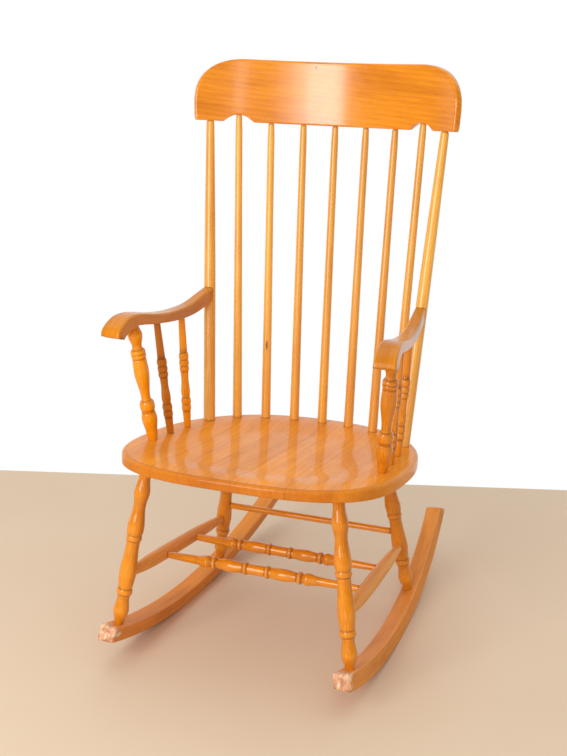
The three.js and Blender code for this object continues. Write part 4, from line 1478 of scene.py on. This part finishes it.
def through_points(points, steps):
    """A smooth run through a row of points, with so many steps from one to the next."""
    padded = [2 * points[0] - points[1], *points, 2 * points[-1] - points[-2]]
    run = []
    for a, b, c, d in zip(padded, padded[1:], padded[2:], padded[3:]):
        t1 = (b - a).length ** CURVE_POWER
        t2 = t1 + (c - b).length ** CURVE_POWER
        t3 = t2 + (d - c).length ** CURVE_POWER
        for step in range(steps):
            t = t1 + (t2 - t1) * step / steps
            ab = a.lerp(b, t / t1)
            bc = b.lerp(c, (t - t1) / (t2 - t1))
            cd = c.lerp(d, (t - t2) / (t3 - t2))
            near = ab.lerp(bc, t / t2)
            far = bc.lerp(cd, (t - t1) / (t3 - t1))
            run.append(near.lerp(far, (t - t1) / (t2 - t1)))
    return [*run, points[-1]]


print("power that spaces the marks along the run:", CURVE_POWER)

# %% The side view of an arm
ARM_FRONT_SETBACK = 56
ARM_FRONT_INSET = 7.5
ARM_HEIGHT = 236
ARM_REAR_WIDTH = 20
ARM_FRONT_WIDTH = 42
ARM_END_SETBACK = 5
ARM_REAR_RISE = 30
ARM_THICKNESS = 30
ARM_STEPS = 9
ARM_LINE_SHARES = (
    (0, 1, 1),
    (0.106, 0.6, 0.96),
    (0.179, 0.34, 0.89),
    (0.266, 0.13, 0.79),
    (0.361, 0.03, 0.73),
    (0.443, -0.01, 0.68),
    (0.538, 0.01, 0.66),
    (0.627, 0.07, 0.69),
    (0.739, 0.2, 0.73),
    (0.824, 0.24, 0.78),
    (0.885, 0.08, 0.9),
    (0.93, -0.2, 0.95),
    (0.961, -0.5, 0.91),
    (0.968, -0.76, 0.78),
)
print("marks along an arm:", len(ARM_LINE_SHARES))

# %% The middle line of an arm
class ArmLine:
    """The middle line of one arm, with what its sections and its supports need."""

    def __init__(self, side):
        post = back_post_ends(side)
        self.post_at = post[0].lerp(post[1], (ARM_HEIGHT + ARM_REAR_RISE) / CREST_RISE)
        self.rear_y = self.post_at.y - ARM_END_SETBACK
        self.length = self.rear_y + SEAT_FRONT - ARM_FRONT_SETBACK
        outward = side * (SEAT_WIDTH / 2 - ARM_FRONT_INSET) - self.post_at.x
        marks = []
        for at, rise, _ in ARM_LINE_SHARES:
            marks.append(Vector((
                self.post_at.x + outward * at,
                self.rear_y - at * self.length,
                ARM_HEIGHT + rise * ARM_REAR_RISE,
            )))
        self.points = through_points(marks, ARM_STEPS)
        self.sideways = Vector((self.length, outward, 0)).normalized()

    def section_at(self, number):
        """The middle, the upward direction, the thickness and the width at one step."""
        before = self.points[max(0, number - 1)]
        after = self.points[min(len(self.points) - 1, number + 1)]
        upward = (after - before).cross(self.sideways).normalized()
        mark, step = divmod(number, ARM_STEPS)
        following = min(mark + 1, len(ARM_LINE_SHARES) - 1)
        thin, thick = ARM_LINE_SHARES[mark][2], ARM_LINE_SHARES[following][2]
        thickness = ARM_THICKNESS * (thin + (thick - thin) * step / ARM_STEPS)
        forward = (self.rear_y - self.points[number].y) / self.length
        width = ARM_REAR_WIDTH + (ARM_FRONT_WIDTH - ARM_REAR_WIDTH) * forward
        return self.points[number], upward, thickness, width

    def underside(self, share):
        marks = [row[0] for row in ARM_LINE_SHARES]
        following = next(i for i, at in enumerate(marks) if at >= share)
        before = marks[following - 1]
        into = (share - before) / (marks[following] - before)
        number = round((following - 1 + into) * ARM_STEPS)
        middle, upward, thickness, _ = self.section_at(number)
        return middle - upward * thickness / 2


print("arm, mm from the post to the front:", round(ArmLine(1).length, 1))

# %% [markdown]
# ## Arms
#
# The rear end of an arm is hollowed to fit round the back post, and a screw from behind pulls it
# tight. A boolean cut would do this, but moving the points of the first section onto the round of
# the post gives the same seat without stray faces. Hands have rubbed the arms, so their edges are
# paler than the rest.

# %% Fit an arm to its post
CLEARANCE = 0.3


def back_post_radius_at(height):
    return radius_at(BACK_POST_TURNING_SHARES, BACK_POST_DIAMETER, height / CREST_RISE)


def back_post_lean():
    foot, top = back_post_ends(1)
    return (top.y - foot.y) / (top.z - foot.z)


def cope_to_post(line, place):
    """Draws a point of the arm's rear end forward to the round of the back post."""
    aside = place.x - line.post_at.x
    reach = back_post_radius_at(line.post_at.z) + CLEARANCE
    deep = math.sqrt(max(0.0, reach ** 2 - aside ** 2))
    lean_there = (place.z - line.post_at.z) * back_post_lean()
    place.y = line.post_at.y + lean_there - max(ARM_END_SETBACK, deep)
    return place


print("the post at the arm is thick by mm:", round(2 * back_post_radius_at(ARM_HEIGHT), 1))

# %% The finish of the arms
ARM = varnished_wood("worn_arm_varnish", WoodLook(
    pale=colour(216, 133, 24), dark=colour(155, 82, 8), rubbed=colour(234, 170, 84),
    ring_share=0.12, edge_share=0.3, specular=0.06, coat=0.62, coat_roughness=0.2))

# %% Shape the arms
ARM_EDGE = 4.5
ARM_CORNER_STEPS = 7
ARM_END_ROUND = 5
ARM_END_HOLD = 1.5


def arm_stations(last):
    """Each step along the arm, how far back from it a section lies, and how far it is drawn in."""
    stations = [(number, 0.0, 0.0) for number in range(last)]
    for inward, back, _ in quarter_round(ROUND_STEP):
        stations.append((last, ARM_END_ROUND * back, ARM_END_ROUND * inward))
    stations.append((last, 0.0, ARM_END_ROUND + ARM_END_HOLD))
    return stations


def shape_arm(hand, side):
    line = ArmLine(side)
    rings = []
    for number, back, drawn_in in arm_stations(len(line.points) - 1):
        middle, upward, thickness, width = line.section_at(number)
        middle = middle - line.sideways.cross(upward) * back
        ring = []
        section = soft_section(
            width - 2 * drawn_in, thickness - 2 * drawn_in, ARM_EDGE, ARM_CORNER_STEPS)
        for across, up, edge in section:
            place = middle + line.sideways * across + upward * up
            if number == 0:
                place = cope_to_post(line, place)
            ring.append(Spot(place, Vector((-place.y, across, up)), edge))
        rings.append(ring)
    skin(f"arm_rest_{hand}", rings, f"arm_{hand}", ARM)
    return line


arm_lines = {hand: shape_arm(hand, side) for hand, side in HANDS}
print("arms shaped, sections in each:", len(arm_stations(len(arm_lines["left"].points) - 1)))

# %% [markdown]
# ## Arm posts and arm sticks
#
# A stout turned post carries each arm near the front, and two thinner sticks with paired beads
# stand behind it. They could be drawn at a measured length and moved into place, but the arm
# curves over them. So each runs from the underside of the arm down to the seat, and its length
# follows. Under the sitter's right arm the wood came from other trees: two supports are a clear
# amber, and the one between them is redder.

# %% Patterns of the arm supports
ARM_POST_TURNING_SHARES = (
    (0, 0.66),
    (0.02, 0.66, "line"),
    (0.088, 0.92, "ease"),
    (0.184, 0.615, "ease"),
    (0.208, 0.66, "line"),
    (0.238, 0.96, "rise"),
    (0.247, 0.88, "line"),
    (0.256, 0.95, "line"),
    (0.276, 0.93, "line"),
    (0.286, 0.83, "line"),
    (0.298, 0.9, "line"),
    (0.39, 0.97, "line"),
    (0.625, 0.59, "ease"),
    (0.65, 0.64, "line"),
    (0.695, 0.957, "rise"),
    (0.73, 0.88, "fall"),
    (0.75, 0.82, "line"),
    (0.805, 1, "bow"),
    (0.934, 0.75, "ease"),
    (1, 0.57, "line"),
)
ARM_STICK_TURNING_SHARES = (
    (0, 0.65),
    (0.32, 0.79, "line"),
    (0.352, 1, "rise"),
    (0.384, 0.8, "fall"),
    (0.41, 1, "rise"),
    (0.44, 0.8, "fall"),
    (0.464, 0.98, "rise"),
    (0.485, 0.82, "fall"),
    (0.556, 0.74, "line"),
    (0.674, 0.92, "ease"),
    (0.73, 0.8, "ease"),
    (0.759, 1, "rise"),
    (0.79, 0.8, "fall"),
    (0.82, 0.97, "rise"),
    (0.845, 0.83, "fall"),
    (1, 0.68, "line"),
)
print("marks along an arm post:", len(ARM_POST_TURNING_SHARES))
print("marks along an arm stick:", len(ARM_STICK_TURNING_SHARES))

# %% The finishes of the odd woods
AMBER = varnished_wood("amber_turned_varnish", WoodLook(
    pale=colour(255, 164, 16), dark=colour(196, 100, 6), rubbed=colour(255, 204, 90),
    fibre=1.6, fibre_share=0.4, tone_share=0.25, specular=0.1, coat=0.85))
RED = varnished_wood("red_turned_varnish", WoodLook(
    pale=colour(214, 130, 34), dark=colour(152, 80, 14), rubbed=colour(224, 150, 70),
    specular=0.1, coat=0.5))
ODD_WOODS = {
    "arm_post_right": AMBER,
    "arm_stick_front_right": RED,
    "arm_stick_rear_right": AMBER,
}

# %% Turn the arm supports
ARM_POST_DIAMETER = 30.6
ARM_POST_SETBACK = 189
ARM_POST_INSET = 37
ARM_POST_SHARE = 0.773
ARM_STICK_DIAMETER = 20
ARM_STICK_INSETS = (41.8, 40.3)
ARM_STICK_SPACING = 67
ARM_STICK_SHARES = (0.552, 0.294)


def turn_arm_support(name, side, line, shares, diameter, seat_y, inset, arm_share):
    x, y = in_from_edge(seat_y, inset)
    foot = Vector((side * x, y, 0))
    wood = ODD_WOODS.get(name, TURNED)
    return turn_piece(
        name, "turned_wood", wood, shares, diameter, line.underside(arm_share), foot)


for hand, side in HANDS:
    post_y = ARM_POST_SETBACK - SEAT_FRONT
    turn_arm_support(f"arm_post_{hand}", side, arm_lines[hand], ARM_POST_TURNING_SHARES,
                     ARM_POST_DIAMETER, post_y, ARM_POST_INSET, ARM_POST_SHARE)
    for number, row in enumerate(("front", "rear")):
        stick = turn_arm_support(f"arm_stick_{row}_{hand}", side, arm_lines[hand],
                                 ARM_STICK_TURNING_SHARES, ARM_STICK_DIAMETER,
                                 post_y + (number + 1) * ARM_STICK_SPACING,
                                 ARM_STICK_INSETS[number], ARM_STICK_SHARES[number])
print("arm supports turned, points in a stick:", len(stick.data.vertices))

# %% [markdown]
# ## Plugs and pins
#
# A screw runs through each back post into the end of the arm, and a glued plug hides its head.
# A thin pin behind the crest rail locks each post in its hole. Plugs and pins show end grain, so
# their rings lie close together. They could be left out at this size, but they are what holds
# the chair together, and the back shows them.

# %% The finish of the plugs and pins
PLUG = varnished_wood("end_grain_plug", WoodLook(
    pale=colour(200, 124, 58), dark=colour(150, 82, 34), rubbed=colour(214, 150, 90),
    ring=1.2, ring_share=0.7))

# %% Turn the plugs and pins
PLUG_HOLE_DIAMETER = 9
PLUG_PROUD = 0.4
SCREW_SEAT_BEHIND_AXIS = 2
SCREW_HEAD_THICKNESS = 3
CREST_PIN_DIAMETER = 4
CREST_PIN_PROUD = 0.05
PEG_CROWN_SHARE = 0.1
PEG_RIM_SHARE = 0.06
PEG_SHARES = ((0, 1 - PEG_CROWN_SHARE), (PEG_RIM_SHARE, 1, "bow"), (1, 1, "line"))
SCREW_HEAD_BEHIND = SCREW_SEAT_BEHIND_AXIS + SCREW_HEAD_THICKNESS + CLEARANCE


def turn_plug(hand):
    line = arm_lines[hand]
    forward = Vector((line.sideways.y, -line.sideways.x, 0))
    outside = back_post_radius_at(line.post_at.z) + PLUG_PROUD
    return turn_piece(
        f"screw_plug_{hand}", "plug_wood", PLUG, PEG_SHARES, PLUG_HOLE_DIAMETER - 2 * CLEARANCE,
        line.post_at - forward * outside, line.post_at - forward * SCREW_HEAD_BEHIND, into=0)


def turn_pin(hand, side):
    bend = side * CREST_POST_REACH
    half = CREST_THICKNESS / 2
    turn_piece(
        f"crest_pin_{hand}", "plug_wood", PLUG, PEG_SHARES, CREST_PIN_DIAMETER,
        on_crest(bend, CREST_PIN_RISE, half + CREST_PIN_PROUD),
        on_crest(bend, CREST_PIN_RISE, CREST_PIN_COVER - half), into=0)


for hand, side in HANDS:
    plug = turn_plug(hand)
    turn_pin(hand, side)
print("plugs and pins turned, points in a plug:", len(plug.data.vertices))

# %% [markdown]
# ## Screws
#
# The screws are steel and lie inside the wood, under their plugs. They could be built again like
# the rest, but nobody would see the difference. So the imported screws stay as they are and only
# get a finish: grey metal with fine brush lines along it.

# %% Finish the screws
BRUSH_STRETCH = (1.0, 0.05, 1.0)
BRUSH_SCALE = 4000.0
BRUSH_RANGE = (0.3, 0.7)
STEEL_ROUGHNESS = (0.28, 0.45)
STEEL_BUMP = 0.2
BRUSH_DEPTH = 0.0001


def brushed_steel():
    material, tree = new_material("brushed_steel")
    place = add_node(tree, "ShaderNodeTexCoord").outputs["Object"]
    lines = add_node(tree, "ShaderNodeMapping", {
        "Vector": place, "Scale": BRUSH_STRETCH}).outputs[0]
    brushing = noise(tree, lines, BRUSH_SCALE)
    shader = tree.nodes["Principled BSDF"]
    steel = blend_colours(tree, brushing, colour(150, 150, 146), colour(196, 195, 190))
    tree.links.new(steel, shader.inputs["Base Color"])
    roughness = spread(tree, brushing, *BRUSH_RANGE, *STEEL_ROUGHNESS)
    tree.links.new(roughness, shader.inputs["Roughness"])
    bump = add_node(tree, "ShaderNodeBump", {
        "Height": brushing, "Strength": STEEL_BUMP, "Distance": BRUSH_DEPTH})
    tree.links.new(bump.outputs[0], shader.inputs["Normal"])
    shader.inputs["Metallic"].default_value = 1.0
    return material


STEEL = brushed_steel()
for hand, _ in HANDS:
    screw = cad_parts[f"arm_screw_{hand}"]
    screw.data.materials.clear()
    screw.data.materials.append(STEEL)
print("materials in the file now:", len(bpy.data.materials))

# %% [markdown]
# ## The floor
#
# The chair stands on a plain pale floor that ends a little way behind it. A floor without an end
# would be simpler, but then nothing white lies behind the chair. Its far edge runs nearly square
# to the camera's view, and faint clouds of colour keep it from looking like paper.

# %% Lay the floor
FLOOR_TURN = math.radians(17.4)
FLOOR_FAR = 0.73
FLOOR_NEAR = -7.0
FLOOR_HALF_WIDTH = 7.0
FLOOR_ROUGHNESS = 0.7
FLOOR_CLOUD_SCALE = 3.0


def floor_finish():
    material, tree = new_material("floor_pale")
    place = add_node(tree, "ShaderNodeTexCoord").outputs["Object"]
    clouds = noise(tree, place, FLOOR_CLOUD_SCALE)
    tint = blend_colours(tree, clouds, colour(218, 194, 165), colour(224, 201, 173))
    shader = tree.nodes["Principled BSDF"]
    tree.links.new(tint, shader.inputs["Base Color"])
    shader.inputs["Roughness"].default_value = FLOOR_ROUGHNESS
    return material


def lay_floor():
    work = bmesh.new()
    corners = [
        (-FLOOR_HALF_WIDTH, FLOOR_NEAR), (FLOOR_HALF_WIDTH, FLOOR_NEAR),
        (FLOOR_HALF_WIDTH, FLOOR_FAR), (-FLOOR_HALF_WIDTH, FLOOR_FAR)]
    turn = Matrix.Rotation(FLOOR_TURN, 4, "Z")
    work.faces.new([work.verts.new(turn @ Vector((x, y, 0))) for x, y in corners])
    mesh = bpy.data.meshes.new("floor")
    work.to_mesh(mesh)
    work.free()
    mesh.materials.append(floor_finish())
    floor = bpy.data.objects.new("floor", mesh)
    bpy.context.scene.collection.objects.link(floor)


lay_floor()
print("floor behind the chair, m:", FLOOR_FAR)

# %% [markdown]
# ## Light from all round
#
# White lies behind the chair, where the camera looks and where varnish mirrors it. The side that
# the camera stands on is dim, because varnish is only as deep in colour as the dark things that
# it mirrors. A single grey world would leave the varnish milky. So the world answers each kind of
# ray in its own way: white for the camera, white or dim for a mirrored ray, and for the light on
# the wood itself a soft light that is stronger above than below and shaded at the sides.

# %% Light the world
WHITE_BEHIND = 1.0
DIM_IN_FRONT = 0.06
BEHIND_RANGE = (0.0, 0.25)
LIGHT_ABOVE = 1.42
LIGHT_BELOW = 0.15
SIDE_SHADE_SHARE = 0.7
MIX_NUMBER_SOCKETS = (0, 2, 3)


def facing(tree, towards, direction):
    """How squarely a ray points in a direction, from -1 to 1."""
    return add_node(tree, "ShaderNodeVectorMath", {
        0: towards, 1: direction}, operation="DOT_PRODUCT").outputs["Value"]


def choose(tree, switch, first, second):
    """The first number, or the second where the switch is on."""
    inputs = dict(zip(MIX_NUMBER_SOCKETS, (switch, first, second)))
    return add_node(tree, "ShaderNodeMix", inputs, data_type="FLOAT").outputs[0]


def light_world():
    world = bpy.data.worlds.new("studio")
    bpy.context.scene.world = world
    world.use_nodes = True
    tree = world.node_tree
    towards = add_node(tree, "ShaderNodeTexCoord").outputs["Generated"]
    rear = (-math.sin(FLOOR_TURN), math.cos(FLOOR_TURN), 0.0)
    beside = (math.cos(FLOOR_TURN), math.sin(FLOOR_TURN), 0.0)
    mirrored_level = spread(
        tree, facing(tree, towards, rear), *BEHIND_RANGE, DIM_IN_FRONT, WHITE_BEHIND)
    height = add_node(tree, "ShaderNodeSeparateXYZ", {0: towards}).outputs["Z"]
    aside = sum_of(tree, "ABSOLUTE", facing(tree, towards, beside))
    open_share = sum_of(
        tree, "SUBTRACT", 1.0, sum_of(tree, "MULTIPLY", aside, SIDE_SHADE_SHARE))
    soft = sum_of(
        tree, "MULTIPLY", spread(tree, height, -1.0, 1.0, LIGHT_BELOW, LIGHT_ABOVE), open_share)
    path = add_node(tree, "ShaderNodeLightPath").outputs
    mirrored_ray = sum_of(tree, "MAXIMUM", path["Is Glossy Ray"], path["Is Transmission Ray"])
    level = choose(tree, mirrored_ray, soft, mirrored_level)
    level = choose(tree, path["Is Camera Ray"], level, WHITE_BEHIND)
    background = tree.nodes["Background"]
    background.inputs["Color"].default_value = (1, 1, 1, 1)
    tree.links.new(level, background.inputs["Strength"])


light_world()
print("strength of the light from above and from below:", LIGHT_ABOVE, LIGHT_BELOW)

# %% [markdown]
# ## The windows
#
# The varnish of the crest rail mirrors windows as upright bands: a bright one that fades to one
# side, and a faint narrow one by itself. Bands painted on the wood would stay put when the camera
# moves. Flat lamps in a row behind the camera give real ones: a bright window, a curtained and a
# dim one beside it, which make the fade, and a narrow one.

# %% Hang the windows
AIM = (0, 0.1, 0.8)
WINDOW_Y = -2.54
WINDOW_MIDDLE = 1.25
WINDOW_HEIGHT = 1.6
WATTS_FOR_WHITE = 4
WINDOWS = (
    ("bright_window", -0.715, 0.81, 6.2),
    ("curtained_window", -0.16, 0.3, 2.8),
    ("dim_window", 0.14, 0.3, 1.1),
    ("narrow_window", 1.13, 0.22, 2.4),
)


def hang_lamp(name, place, aim, size, level):
    """A flat lamp of a given brightness, where 1 is as bright as white paper in the sun."""
    data = bpy.data.lights.new(name, "AREA")
    data.shape = "RECTANGLE"
    data.size, data.size_y = size
    data.energy = WATTS_FOR_WHITE * size[0] * size[1] * level
    lamp = bpy.data.objects.new(name, data)
    lamp.location = place
    lamp.rotation_euler = (Vector(aim) - Vector(place)).to_track_quat("-Z", "Y").to_euler()
    bpy.context.scene.collection.objects.link(lamp)
    print(name, "in watts:", round(data.energy, 1))


for name, middle_x, width, level in WINDOWS:
    hang_lamp(name, (middle_x, WINDOW_Y, WINDOW_MIDDLE), AIM, (width, WINDOW_HEIGHT), level)
